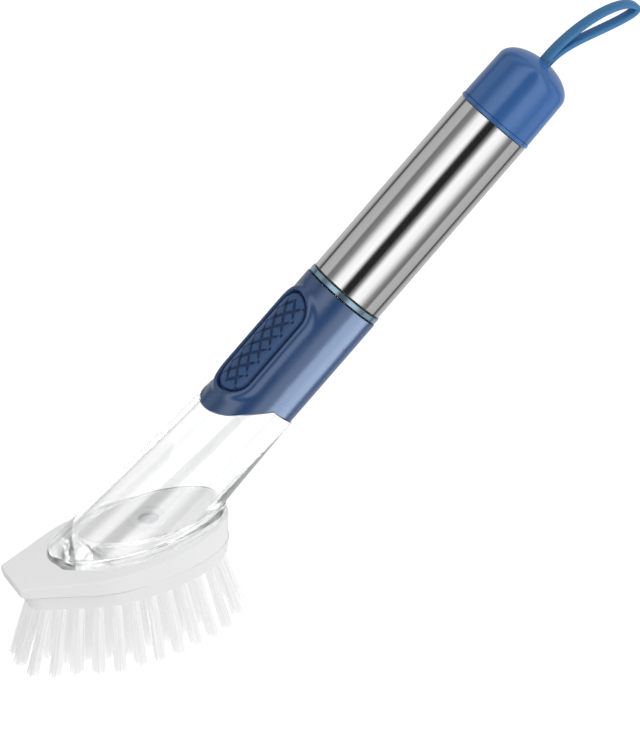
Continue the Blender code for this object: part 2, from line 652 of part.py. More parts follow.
def make_clear_neck(parent, surface):
    """A thick clear moulding: a shank inside the grip, a skin that flares to an oval foot, and one cavity.

    The foot stands on a narrower wall, so its lip hangs over a groove and the deck below it stays clear."""
    outline = edge_ring(-GAP, NECK_RADIUS)
    wall = foot_ring(FOOT_LENGTH - 2 * FOOT_LIP, FOOT_WIDTH - 2 * FOOT_LIP, FOOT_CENTRE, FOOT_WALL_Z)
    foot_z = -FOOT_SINK + GAP
    under = foot_ring(FOOT_LENGTH - 2 * FOOT_LIP, FOOT_WIDTH - 2 * FOOT_LIP, FOOT_CENTRE, foot_z)
    toe_in = FOOT_LIP / 3
    rebate = 2 * PLATE_REBATE
    shoulder_z = PLATE_TOP_Z + GAP
    cavity = foot_ring(CAVITY_LENGTH, CAVITY_WIDTH, CAVITY_CENTRE, shoulder_z)
    cavity_wall = foot_ring(CAVITY_LENGTH + 2 * CAVITY_FILLET, CAVITY_WIDTH + 2 * CAVITY_FILLET, CAVITY_CENTRE,
                            shoulder_z + CAVITY_FILLET_HEIGHT)
    mouth = edge_ring(-GAP - NECK_SHOULDER, NECK_RADIUS - NECK_WALL)
    rings = [
        outline, between(outline, wall, 0.4), between(outline, wall, 0.75), wall,
        foot_ring(FOOT_LENGTH - toe_in, FOOT_WIDTH - toe_in, FOOT_CENTRE, (FOOT_WALL_Z + FOOT_WIDEST_Z) / 2),
        foot_ring(FOOT_LENGTH, FOOT_WIDTH, FOOT_CENTRE, FOOT_WIDEST_Z),
        foot_ring(FOOT_LENGTH - 2 * toe_in, FOOT_WIDTH - 2 * toe_in, FOOT_CENTRE,
                  (FOOT_WIDEST_Z + FOOT_GROOVE_Z) / 2),
        foot_ring(FOOT_LENGTH - 2 * FOOT_LIP, FOOT_WIDTH - 2 * FOOT_LIP, FOOT_CENTRE, FOOT_GROOVE_Z), under,
        foot_ring(CAVITY_LENGTH + rebate, CAVITY_WIDTH + rebate, CAVITY_CENTRE, foot_z),
        foot_ring(CAVITY_LENGTH + rebate, CAVITY_WIDTH + rebate, CAVITY_CENTRE, shoulder_z),
        cavity, cavity_wall, between(cavity_wall, mouth, 0.5), mouth, edge_ring(-GAP, SHANK_BORE),
        straight_ring(NECK_TOP_X, SHANK_BORE), straight_ring(NECK_TOP_X, SHANK_RADIUS),
        edge_ring(-GAP, SHANK_RADIUS),
    ]
    neck = finish("clear_neck", lofted(rings, closed=True), parent, surface)
    at_pad = Matrix.Translation((PAD_X, 0, 0))
    ledge = race_slab(MOAT_WIDTH + MEMBRANE_LAP + GAP, SHANK_RADIUS - MEMBRANE_THICKNESS - GAP,
                      SHANK_RADIUS + OVERRUN)
    combine(neck, cutter("membrane_ledge", ledge, parent, at_pad), "DIFFERENCE")
    opening = race_slab(GAP, SHANK_BORE - OVERRUN, SHANK_RADIUS + OVERRUN)
    combine(neck, cutter("pad_opening", opening, parent, at_pad), "DIFFERENCE")


def valve_ring(radius, z):
    return [Vector((CAVITY_CENTRE - radius * math.cos(angle), radius * math.sin(angle), z))
            for angle in handle_angles()]


def make_valve_plate(parent, surface):
    """The oval floor of the neck, raised on a skirt: a ringed boss on top, a spout that plugs into the head."""
    length = CAVITY_LENGTH + 2 * PLATE_REBATE - 2 * GAP
    width = CAVITY_WIDTH + 2 * PLATE_REBATE - 2 * GAP
    skirt_end = -FOOT_SINK + GAP
    low = PLATE_TOP_Z - PLATE_THICKNESS
    oval = [(CAVITY_CENTRE - length / 2 * math.cos(angle), width / 2 * math.sin(angle))
            for angle in handle_angles()]
    inside = [(CAVITY_CENTRE - (length / 2 - PLATE_SKIRT) * math.cos(angle),
               (width / 2 - PLATE_SKIRT) * math.sin(angle)) for angle in handle_angles()]
    seat = PLATE_TOP_Z - PLATE_THICKNESS / 2
    spout_end = skirt_end - SPOUT_LENGTH
    spout_bore = SPOUT_RADIUS - SPOUT_WALL
    rings = [
        flat_ring(oval, skirt_end), flat_ring(oval, PLATE_TOP_Z), valve_ring(BOSS_RADIUS, PLATE_TOP_Z),
        valve_ring(BOSS_RADIUS, PLATE_TOP_Z + BOSS_HEIGHT),
        valve_ring(BOSS_RADIUS - BOSS_WALL, PLATE_TOP_Z + BOSS_HEIGHT),
        valve_ring(BOSS_RADIUS - BOSS_WALL, PLATE_TOP_Z), valve_ring(OUTLET_RADIUS, PLATE_TOP_Z),
        valve_ring(OUTLET_RADIUS, seat), valve_ring(spout_bore, seat), valve_ring(spout_bore, spout_end),
        valve_ring(SPOUT_RADIUS, spout_end), valve_ring(SPOUT_RADIUS, low),
        flat_ring(inside, low), flat_ring(inside, skirt_end),
    ]
    finish("valve_plate", lofted(rings, closed=True), parent, surface, DECK)


def valve_axis():
    return DECK @ Matrix.Translation((CAVITY_CENTRE, 0, 0))


def valve_flange_z():
    return PLATE_TOP_Z - PLATE_THICKNESS / 2 - GAP


def make_slit_valve(parent, surface):
    """A silicone disc with a hollow dome that hangs below the outlet."""
    top = valve_flange_z()
    low = top - VALVE_FLANGE
    tip = low - VALVE_DOME_DEPTH
    rim = SPOUT_RADIUS - SPOUT_WALL - GAP
    inside = VALVE_DOME_RADIUS - VALVE_SKIN
    profile = [(tip + VALVE_SKIN, 0), (low, inside * 0.9), (top, inside), (top, rim), (low, rim),
               (low, VALVE_DOME_RADIUS), (tip + VALVE_SKIN, VALVE_DOME_RADIUS * 0.8), (tip, 0)]
    finish("slit_valve", revolved(profile, axis="Z", steps=SMALL_ROUND_STEPS), parent, surface, valve_axis())


def make_valve_retainer(parent, surface):
    """The ring that is pressed up the spout to hold the valve's flange."""
    high = valve_flange_z() - VALVE_FLANGE - GAP
    low = high - RETAINER_LENGTH
    rim = SPOUT_RADIUS - SPOUT_WALL - GAP
    inside = VALVE_DOME_RADIUS + GAP
    profile = [(low, inside), (high, inside), (high, rim), (low, rim)]
    finish("valve_retainer", revolved(profile, axis="Z", steps=SMALL_ROUND_STEPS), parent, surface, valve_axis())


# Brush head, in the deck's frame

def make_head_shell(parent, surface):
    """The upper half of the head: deck, scraper nose and walls, hollow below, with a socket for the spout."""
    shell = finish("head_shell", lofted([
        parting_ring(head_outline(SHELL_DRAFT)), flat_ring(head_outline(0), -DECK_ROUNDING),
        flat_ring(head_outline(DECK_ROUNDING), 0)]), parent, surface)
    hollow_outline = head_outline(SHELL_WALL + SHELL_DRAFT)
    hollow = lofted([parting_ring(hollow_outline, -OVERRUN), flat_ring(hollow_outline, -SHELL_WALL)])
    combine(shell, cutter("shell_hollow", hollow, parent), "DIFFERENCE")
    socket_low = -PARTING_DEPTH + BAND_RIM_HEIGHT + GAP
    tube = lofted([flat_ring(circle(socket_radius() + SOCKET_WALL, CAVITY_CENTRE, SMALL_ROUND_STEPS), z)
                   for z in (socket_low, -SHELL_WALL / 2)])
    combine(shell, cutter("socket_tube", tube, parent), "UNION")
    bore = lofted([flat_ring(circle(socket_radius(), CAVITY_CENTRE, SMALL_ROUND_STEPS), z)
                   for z in (socket_low - OVERRUN, OVERRUN)])
    combine(shell, cutter("socket_bore", bore, parent), "DIFFERENCE")
    length = FOOT_LENGTH - 2 * FOOT_LIP + 2 * GAP
    width = FOOT_WIDTH - 2 * FOOT_LIP + 2 * GAP
    oval = [(FOOT_CENTRE + (x - FOOT_CENTRE) * length / width, y)
            for x, y in circle(width / 2, FOOT_CENTRE, ROUND_STEPS)]
    pocket = lofted([flat_ring(oval, z) for z in (-FOOT_SINK, OVERRUN)])
    combine(shell, cutter("foot_pocket", pocket, parent), "DIFFERENCE")


def socket_radius():
    return SPOUT_RADIUS + GAP


def soap_hole_x():
    """Where the valve's axis crosses the bristle plane, in that plane's own frame."""
    drop = CAVITY_CENTRE * math.tan(BRISTLE_TILT)
    return CAVITY_CENTRE * math.cos(BRISTLE_TILT) + drop * math.sin(BRISTLE_TILT)


def plate_outline(inset):
    return head_outline(SHELL_DRAFT + inset, BAND_SETBACK, BAND_NOSE_ROUNDING)


def make_bristle_plate(parent, surface):
    """The lower half of the head: a band that follows the shell, a rim inside it and a soap hole."""
    top = BAND_HEIGHT - GAP
    rim = SHELL_WALL + BAND_RIM_CLEARANCE
    plate = finish("bristle_plate", lofted([
        flat_ring(plate_outline(BAND_DRAFT), 0), flat_ring(plate_outline(0), top),
        flat_ring(plate_outline(rim), top), flat_ring(plate_outline(rim), top + BAND_RIM_HEIGHT)]),
        parent, surface)
    pocket = lofted([flat_ring(plate_outline(BAND_DRAFT + SLAB_MARGIN), z)
                     for z in (-OVERRUN, SLAB_THICKNESS + GAP)])
    combine(plate, cutter("slab_pocket", pocket, parent), "DIFFERENCE")
    high = top + BAND_RIM_HEIGHT + OVERRUN
    funnel = revolved([(-OVERRUN, 0), (-OVERRUN, SOAP_HOLE_RADIUS), (BAND_HEIGHT / 2, SOAP_HOLE_RADIUS),
                       (high, SOAP_FUNNEL_RADIUS), (high, 0)], axis="Z", steps=SMALL_ROUND_STEPS)
    combine(plate, cutter("soap_funnel", funnel, parent, Matrix.Translation((soap_hole_x(), 0, 0))),
            "DIFFERENCE")


# Bristles, in the bristle plane's frame

def even_points(path, count):
    """Points at equal steps along a closed path."""
    closed = list(path) + [path[0]]
    lengths = [math.dist(a, b) for a, b in zip(closed, closed[1:])]
    pitch = sum(lengths) / count
    points = []
    for i in range(count):
        left = i * pitch
        k = 0
        while left > lengths[k]:
            left -= lengths[k]
            k += 1
        share = left / lengths[k]
        points.append(tuple(a + (b - a) * share for a, b in zip(closed[k], closed[k + 1])))
    return points


def tuft_places():
    """An outer row along the plate's edge, an oval row inside it and a short row down the middle."""
    outer = even_points(plate_outline(OUTER_ROW_MARGIN + BAND_DRAFT), OUTER_ROW_TUFTS)
    oval = [(INNER_ROW_X + x * INNER_ROW_LENGTH / INNER_ROW_WIDTH, y)
            for x, y in circle(INNER_ROW_WIDTH / 2, 0, ROUND_STEPS * 2)]
    inner = even_points(oval, INNER_ROW_TUFTS)
    middle = [(MIDDLE_ROW_START_X + i * MIDDLE_ROW_PITCH, 0.0) for i in range(MIDDLE_ROW_TUFTS)]
    return outer + inner + middle


def tuft_strands():
    """Foot of each strand within a tuft: one in the middle and six round it."""
    return [(0.0, 0.0)] + circle(TUFT_RADIUS, 0.0, 6)


def fan(x, y):
    """How far a strand leans out by its tip, from where its tuft stands."""
    return (x - FAN_CENTRE_X) * FAN_SHARE, y * FAN_SHARE


def strand_ends():
    """Each strand as three foot points and three tip points, in the bristle plane's frame."""
    ends = []
    for number, (tuft_x, tuft_y) in enumerate(tuft_places()):
        lean_x, lean_y = fan(tuft_x, tuft_y)
        for k, (side_x, side_y) in enumerate(tuft_strands()):
            uneven = ((number * 7 + k) * 0.618) % 1 - 0.5
            length = BRISTLE_LENGTH * (1 + BRISTLE_UNEVEN_SHARE * uneven)
            foot = Vector((tuft_x + side_x, tuft_y + side_y, 0))
            tip = foot + Vector((lean_x + side_x * TUFT_SPLAY_SHARE, lean_y + side_y * TUFT_SPLAY_SHARE, -length))
            corners = [Vector((x, y, 0)) for x, y in circle(STRAND_RADIUS, 0.0, 3)]
            ends.append(([foot + corner for corner in corners],
                         [tip + corner * STRAND_TIP_SHARE for corner in corners]))
    return ends


def trimmed(ends):
    """Cut the lowest tips level, so that the brush stands on a flat."""
    to_handle = BRISTLE_PLANE
    from_handle = to_handle.inverted()
    floor = min((to_handle @ tip).z for _, tips in ends for tip in tips) + TRIM_FLAT
    cut = []
    for feet, tips in ends:
        placed = [to_handle @ tip for tip in tips]
        if min(point.z for point in placed) < floor:
            placed = [Vector((point.x, point.y, max(point.z, floor))) for point in placed]
        cut.append((feet, [from_handle @ point for point in placed]))
    return cut


def make_bristle_field(parent, surface):
    """All strands on one slice of the plate: the slice's underside is meshed round every strand's foot."""
    outline = plate_outline(BAND_DRAFT + SLAB_MARGIN + GAP)
    hole = circle(SOAP_HOLE_RADIUS, soap_hole_x(), SMALL_ROUND_STEPS)
    ends = trimmed(strand_ends())
    scale = 1 / MM
    flat = [Vector(point) * scale for point in outline + hole]
    edges = [(i, (i + 1) % len(outline)) for i in range(len(outline))]
    edges += [(len(outline) + i, len(outline) + (i + 1) % len(hole)) for i in range(len(hole))]
    top_faces = delaunay_2d_cdt(flat, edges, [], 1, 1e-6)[2]
    first = len(flat)
    for number, (feet, _) in enumerate(ends):
        flat += [Vector((foot.x, foot.y)) * scale for foot in feet]
        edges += [(first + 3 * number + i, first + 3 * number + (i + 1) % 3) for i in range(3)]
    low_faces = delaunay_2d_cdt(flat, edges, [], 1, 1e-6)[2]

    bm = bmesh.new()
    low = [bm.verts.new((point.x / scale, point.y / scale, 0)) for point in flat]
    high = [bm.verts.new((x, y, SLAB_THICKNESS)) for x, y in outline + hole]
    in_hole = set(range(len(outline), first))
    for face in low_faces:
        owner = {(i - first) // 3 if i >= first else -1 for i in face}
        if in_hole.issuperset(face):
            continue
        if len(owner) == 1 and -1 not in owner:
            add_strand(bm, [low[i] for i in face], [i - first for i in face], ends)
        else:
            bm.faces.new([low[i] for i in face])
    for face in top_faces:
        if not in_hole.issuperset(face):
            bm.faces.new([high[i] for i in face])
    for loop_start, loop_end in ((0, len(outline)), (len(outline), first)):
        count = loop_end - loop_start
        for i in range(count):
            a, b = loop_start + i, loop_start + (i + 1) % count
            bm.faces.new((low[a], low[b], high[b], high[a]))
    finish("bristle_field", bm, parent, surface)


def add_strand(bm, feet, numbers, ends):
    tips = [bm.verts.new(ends[number // 3][1][number % 3]) for number in numbers]
    bm.faces.new(tips)
    for i in range(3):
        j = (i + 1) % 3
        bm.faces.new((feet[i], feet[j], tips[j], tips[i]))


# Assembly

def stand_on_origin(root):
    """Move the brush so that the middle of its box's underside is the origin."""
    bpy.context.view_layer.update()
    depsgraph = bpy.context.evaluated_depsgraph_get()
    points = []
    for part in bpy.context.scene.objects:
        if part.type == "MESH" and not part.hide_render:
            shape = part.evaluated_get(depsgraph)
            points += [shape.matrix_world @ vertex.co for vertex in shape.data.vertices]
    low = Vector([min(point[i] for point in points) for i in range(3)])
    high = Vector([max(point[i] for point in points) for i in range(3)])
    root.location = (-(low.x + high.x) / 2, -(low.y + high.y) / 2, -low.z)


def build():
    clear_scene()
    blue_gloss = plastic("cap_blue_polypropylene", (0.055, 0.145, 0.36), 0.25)
    blue_satin = plastic("grip_blue_soft_touch", (0.042, 0.105, 0.26), 0.5)
    blue_silicone = plastic("pad_blue_silicone", (0.046, 0.115, 0.28), 0.55)
    strap_silicone = plastic("strap_blue_silicone", (0.05, 0.17, 0.37), 0.45)
    pale_blue = plastic("ring_pale_blue_acrylic", (0.27, 0.45, 0.6), 0.12, alpha=0.6)
    steel = plastic("sleeve_polished_steel", (0.78, 0.78, 0.79), 0.12, metallic=1.0)
    clear = plastic("clear_styrene", (0.95, 0.96, 0.96), 0.05, alpha=0.3)
    white = plastic("head_white_polypropylene", (0.8, 0.8, 0.8), 0.4)
    nylon = plastic("bristle_nylon", (0.85, 0.85, 0.85), 0.35)
    frosted = plastic("reservoir_frosted_polypropylene", (0.8, 0.82, 0.84), 0.3, alpha=0.6)
    seal_silicone = plastic("seal_silicone", (0.75, 0.77, 0.78), 0.5)

    root = empty("dish_brush")
    cap_lift = empty("cap_lift_axis", root)
    cap_turn = empty("cap_turn_axis", cap_lift)
    pad_press = empty("pad_press_axis", root, Matrix.Translation((PAD_X, 0, 0)))
    head_seat = empty("head_seat", root, DECK)
    bristle_plane = empty("bristle_plane", head_seat, DECK.inverted() @ BRISTLE_PLANE)

    make_hanging_strap(cap_turn, strap_silicone)
    make_end_cap(cap_turn, blue_gloss)
    make_cap_liner(cap_turn, white)
    make_cap_seal(cap_lift, seal_silicone)
    make_steel_sleeve(root, steel)
    make_trim_ring(root, pale_blue)
    make_reservoir_tube(root, frosted)
    make_reservoir_o_ring(root, seal_silicone)
    make_grip_shell(root, blue_satin)
    make_pad_membrane(root, blue_silicone)
    make_thumb_pad(pad_press, blue_silicone)
    make_clear_neck(root, clear)
    make_valve_plate(root, clear)
    make_slit_valve(root, seal_silicone)
    make_valve_retainer(root, white)
    make_head_shell(head_seat, white)
    make_bristle_plate(bristle_plane, white)
    make_bristle_field(bristle_plane, nylon)
    stand_on_origin(root)


build()
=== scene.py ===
"""The looks of the dish brush: its outer pieces finely made, their finishes, the light and the camera.

Lengths are in metres. The handle runs along +X from the brush head to the screw cap, its thumb pad faces +Z,
and places along it are counted from where its axis meets the deck, the flat top of the head.
"""

import math
import random

import bmesh
import bpy
from mathutils import Matrix, Vector


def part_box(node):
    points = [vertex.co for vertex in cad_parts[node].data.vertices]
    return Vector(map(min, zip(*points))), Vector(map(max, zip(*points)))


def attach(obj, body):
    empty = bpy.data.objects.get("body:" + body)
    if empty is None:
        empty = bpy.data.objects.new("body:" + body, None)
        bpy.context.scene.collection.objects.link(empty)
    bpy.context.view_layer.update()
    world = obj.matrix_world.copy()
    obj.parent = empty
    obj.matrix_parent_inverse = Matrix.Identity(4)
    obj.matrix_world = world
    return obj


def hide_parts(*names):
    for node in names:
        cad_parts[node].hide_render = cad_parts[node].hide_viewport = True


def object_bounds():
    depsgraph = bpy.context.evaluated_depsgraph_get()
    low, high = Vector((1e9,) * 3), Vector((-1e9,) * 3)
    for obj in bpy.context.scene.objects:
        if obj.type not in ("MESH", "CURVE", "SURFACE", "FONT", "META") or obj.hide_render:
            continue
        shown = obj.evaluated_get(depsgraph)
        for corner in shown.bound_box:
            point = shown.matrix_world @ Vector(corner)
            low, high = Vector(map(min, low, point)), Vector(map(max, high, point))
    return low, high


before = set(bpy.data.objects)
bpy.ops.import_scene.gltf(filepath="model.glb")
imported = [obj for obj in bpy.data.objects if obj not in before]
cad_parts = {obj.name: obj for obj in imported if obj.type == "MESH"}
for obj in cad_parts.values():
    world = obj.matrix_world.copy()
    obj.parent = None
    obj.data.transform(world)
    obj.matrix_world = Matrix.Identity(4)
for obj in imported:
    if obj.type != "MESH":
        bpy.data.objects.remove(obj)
cad_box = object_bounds()

MM = 0.001
DEGREE = math.pi / 180
WELD = 0.001 * MM
GAP = 0.3 * MM

# Handle
SLEEVE_X = 125.8 * MM
SLEEVE_END_X = 211.7 * MM
SLEEVE_RADIUS = 16.0 * MM
SLEEVE_WALL = 0.6 * MM
SLEEVE_ROUNDING = 0.12 * MM
RING_X = 122.6 * MM
RING_LENGTH = 2.9 * MM
RING_RADIUS = 16.5 * MM
RING_BORE = 15.4 * MM
RING_ROUNDING = 0.25 * MM
RING_RELIEF = 0.4 * MM
# The collar under the ring's edges is painted near-black as the shade in the gaps beside the ring
RING_COLLAR_RADIUS = 16.3 * MM
RING_COLLAR_GAP = 0.05 * MM

# Grip
GRIP_RADIUS = 16.75 * MM
GRIP_WALL = 1.4 * MM
GRIP_TOP_X = 122.3 * MM
TONGUE_TIP_X = 56.8 * MM
BACK_EDGE_X = 73.1 * MM
TONGUE_ROUNDING = 18.0 * MM
TONGUE_FLANK = 45 * DEGREE
GRIP_EDGE_ROUNDING = 0.35 * MM
PAD_X = 90.4 * MM
PAD_LENGTH = 46.4 * MM
PAD_WIDTH = 16.2 * MM
PAD_TOP_RADIUS = 16.9 * MM
PAD_THICKNESS = 3.2 * MM
PAD_ROUNDING = 0.9 * MM
PAD_SKIRT_FLARE = 0.5 * MM
# The bezel's section in millimetres: how far outside the pad's outline, and how high on the grip
BEZEL_SECTION = ((1.0, -1.55), (1.0, 0.55), (1.06, 0.8), (1.2, 1.0), (1.45, 1.12), (1.9, 1.14), (2.4, 1.02),
                 (2.9, 0.78), (3.4, 0.47), (3.9, 0.2), (4.4, 0.05), (5.0, 0.0))

# Lattice of grooves on the pad
LATTICE_PITCH_X = 6.75 * MM
LATTICE_PITCH_Y = 6.0 * MM
LATTICE_GROOVE = 1.85 * MM
LATTICE_BED_SHARE = 0.3
LATTICE_DEPTH = 1.0 * MM
LATTICE_HALF_LENGTH = 20.4 * MM
LATTICE_HALF_WIDTH = 5.4 * MM
LATTICE_FADE = 1.5 * MM

# Clear neck
NECK_RADIUS = 17.25 * MM
NECK_WALL = 2.8 * MM
NECK_SHOULDER = 3.0 * MM
SHANK_RADIUS = 13.9 * MM
SHANK_BORE = 12.45 * MM
# From where to where, above the handle's axis, the opening for the pad is cut through the shank
PAD_OPENING_LOW_Z = 8.0 * MM
PAD_OPENING_TOP_Z = 14.9 * MM
NECK_TOP_X = 122.3 * MM
FOOT_LENGTH = 75.6 * MM
FOOT_WIDTH = 37.6 * MM
FOOT_CENTRE = 0.8 * MM
FOOT_LIP = 1.6 * MM
FOOT_WIDEST_Z = 2.4 * MM
FOOT_GROOVE_Z = 2.05 * MM
FOOT_WALL_Z = 5.0 * MM
FOOT_SINK = 0.8 * MM
CAVITY_LENGTH = 57.3 * MM
CAVITY_WIDTH = 27.4 * MM
CAVITY_CENTRE = 5.9 * MM
CAVITY_FILLET = 1.6 * MM
CAVITY_FILLET_HEIGHT = 2.6 * MM
PLATE_REBATE = 1.2 * MM
PLATE_THICKNESS = 2.3 * MM
PLATE_RAISE = 4.5 * MM
# After how many reflections in the clear wall a ray makes the plastic glow, and how bright that painted glow
# is
INNER_REFLECTIONS = 1.5
PAINTED_INNER_GLOW = 0.045

# Cap and strap
RIM_X = 212.0 * MM
CAP_LENGTH = 30.4 * MM
CAP_RADIUS = 16.05 * MM
CAP_SHOULDER_RADIUS = 15.7 * MM
CAP_WALL = 1.5 * MM
CAP_DOME_HEIGHT = 8.9 * MM
CAP_BAND_LENGTH = 1.7 * MM
CAP_BAND_PROUD = 0.22 * MM
CAP_GROOVE = 0.3 * MM
CAP_TOP_X = RIM_X + CAP_LENGTH
STRAP_WIDTH = 4.8 * MM
STRAP_THICKNESS = 2.3 * MM
STRAP_REACH = 37.3 * MM
STRAP_DROP = 17.0 * MM
STRAP_ROUNDING = 0.42 * STRAP_THICKNESS
STRAP_STEM = 2.5 * MM
STRAP_STEM_FOOT = 2.0 * MM
STRAP_HOLE_RADIUS = 3.25 * MM
KNOB_THICKNESS = 2.4 * MM
# The loop's middle line, as shares of its reach and its drop
STRAP_OUTWARD_SHARES = ((0.0, 0.05), (0.30, 0.07), (0.72, -0.12), (1.0, -0.55), (1.03, -0.92))
STRAP_RETURN_SHARES = ((1.03, -0.92), (1.05, -1.14), (0.93, -1.12), (0.45, -0.40), (0.30, -0.07),
                       (0.0, -0.05))
# The stem's rounded end above the cap, as shares of its height and of its section
STRAP_STEM_SHARES = ((0.6, 1), (1, 0.9), (1.2, 0))

# Brush head
HEAD_ANGLE = 39.5 * DEGREE
NOSE_REACH = 54.0 * MM
HEEL_REACH = 39.0 * MM
HEAD_WIDTH = 45.6 * MM
WIDEST_X = -11.0 * MM
SIDE_ROUNDING = 50.0 * MM
NOSE_FLANK = 22 * DEGREE
NOSE_ROUNDING = 2.5 * MM
BAND_NOSE_ROUNDING = 6.5 * MM
DECK_ROUNDING = 0.7 * MM
BAND_ROUNDING = 0.5 * MM
HEAD_DEPTH = 15.3 * MM
BAND_HEIGHT = 6.6 * MM
BAND_SETBACK = 3.0 * MM
BAND_DRAFT = 0.6 * MM
SHELL_DRAFT = 0.8 * MM
SHELL_WALL = 2.4 * MM
BRISTLE_TILT = 4.5 * DEGREE
PARTING_DEPTH = HEAD_DEPTH - BAND_HEIGHT
SOCKET_RADIUS = 8.4 * MM
PARTING_OPEN_X = -20.0 * MM
PARTING_SHUT_X = -5.0 * MM

# Bristles
TUFT_PITCH = 1.4 * MM
STRANDS_IN_TUFT = 70
CAD_STRANDS_IN_TUFT = 7
TUFT_FOOT_RADIUS = 1.7 * MM
TUFT_TIP_RADIUS = 2.6 * MM
TUFT_SINK = 0.6 * MM
STRAND_HALFWAY_Z = -10.0 * MM
GOLDEN_ANGLE = math.pi * (3 - math.sqrt(5))
STRAND_RADIUS = 0.18 * MM
STRAND_TIP_SHARE = 0.8
STRAND_RINGS = 4
STRAY = 0.24 * MM
BOW_SHARE = 2.0
UNEVEN = 1.5 * MM
NOSE_TUFTS_X = -36.0 * MM
NOSE_PULL_SHARE = 0.35

# Fineness: steps round the handle, and along each curve or run
ROUND_STEPS = 192
CAP_STEPS = 24
STRAP_STEPS = 48
CORNER_STEPS = 4
TONGUE_STEPS = 24
BACK_STEPS = 24
SEAM_STEPS = 16
TOP_STEPS = 40
GRIP_STEPS = 18
NECK_STEPS = 12
LIP_STEPS = 8
FILLET_STEPS = 10
DECK_EDGE_STEPS = 5
# How far in from a sharp edge the middle of its rounding lies, as a share of the rounding
ROUNDING_MIDDLE = 0.3

sleeve_low, sleeve_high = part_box("steel_sleeve")
START = Matrix.Translation((sleeve_low.x - SLEEVE_X, 0, (sleeve_low.z + sleeve_high.z) / 2))
DECK = START @ Matrix.Rotation(HEAD_ANGLE, 4, "Y")
BRISTLE_PLANE = DECK @ Matrix.Translation((0, 0, -HEAD_DEPTH)) @ Matrix.Rotation(BRISTLE_TILT, 4, "Y")


# Colours and nodes

def srgb(code):
    """A hex colour such as 3F68A0, as linear red, green, blue and alpha."""
    shares = [int(code[i:i + 2], 16) / 255 for i in (0, 2, 4)]
    linear = [share / 12.92 if share <= 0.04045 else ((share + 0.055) / 1.055) ** 2.4 for share in shares]
    return (*linear, 1.0)


def add(tree, kind, values=None, **settings):
    """Add a node; values holds its inputs, each a plain value or the output that feeds it."""
    made = tree.nodes.new(kind)
    for key, value in settings.items():
        setattr(made, key, value)
    for key, value in (values or {}).items():
        if isinstance(value, bpy.types.NodeSocket):
            tree.links.new(value, made.inputs[key])
        else:
            made.inputs[key].default_value = value
    return made


def per_mm(size):
    """The texture scale that gives features of this size, in millimetres."""
    return 1 / (size * MM)


def new_material(name):
    made = bpy.data.materials.new(name)
    made.use_nodes = True
    tree = made.node_tree
    tree.nodes.clear()
    shader = add(tree, "ShaderNodeBsdfPrincipled")
    output = add(tree, "ShaderNodeOutputMaterial")
    tree.links.new(shader.outputs["BSDF"], output.inputs["Surface"])
    return made, tree, shader


def moulded(name, light, dark, roughness, mottle_mm, grain_mm, grain_depth_mm, **sockets):
    """A moulded surface: a slow drift between two close tones, uneven gloss and a fine grain."""
    made, tree, shader = new_material(name)
    place = add(tree, "ShaderNodeTexCoord").outputs["Object"]
    mottle = add(tree, "ShaderNodeTexNoise", {"Vector": place, "Scale": per_mm(mottle_mm), "Detail": 3.0})
    tone = add(tree, "ShaderNodeMix", {"Factor": mottle.outputs["Fac"], "A": srgb(dark), "B": srgb(light)},
               data_type="RGBA")
    grain = add(tree, "ShaderNodeTexNoise", {"Vector": place, "Scale": per_mm(grain_mm), "Detail": 4.0})
    gloss = add(tree, "ShaderNodeMapRange", {"Value": mottle.outputs["Fac"], "To Min": roughness * 0.85,
                                             "To Max": roughness * 1.15})
    bump = add(tree, "ShaderNodeBump", {"Height": grain.outputs["Fac"], "Strength": 0.6,
                                        "Distance": grain_depth_mm * MM})
    tree.links.new(tone.outputs["Result"], shader.inputs["Base Color"])
    tree.links.new(gloss.outputs["Result"], shader.inputs["Roughness"])
    tree.links.new(bump.outputs["Normal"], shader.inputs["Normal"])
    for key, value in sockets.items():
        shader.inputs[key.replace("_", " ")].default_value = value
    return made


def polished_steel():
    """Polished stainless tube: mirror-like, with hair-fine lines round it from the polishing wheel."""
    made, tree, shader = new_material("polished_stainless_steel")
    place = add(tree, "ShaderNodeTexCoord").outputs["Object"]
    lines = add(tree, "ShaderNodeMapping", {"Vector": place,
                                            "Scale": (per_mm(0.25), per_mm(6.0), per_mm(6.0))})
    hair = add(tree, "ShaderNodeTexNoise", {"Vector": lines.outputs["Vector"], "Scale": 1.0, "Detail": 3.0})
    gloss = add(tree, "ShaderNodeMapRange", {"Value": hair.outputs["Fac"], "To Min": 0.07, "To Max": 0.13})
    bump = add(tree, "ShaderNodeBump", {"Height": hair.outputs["Fac"], "Strength": 0.1,
                                        "Distance": 0.002 * MM})
    shader.inputs["Base Color"].default_value = srgb("E6E6E6")
    shader.inputs["Metallic"].default_value = 1.0
    tree.links.new(gloss.outputs["Result"], shader.inputs["Roughness"])
    tree.links.new(bump.outputs["Normal"], shader.inputs["Normal"])
    return made


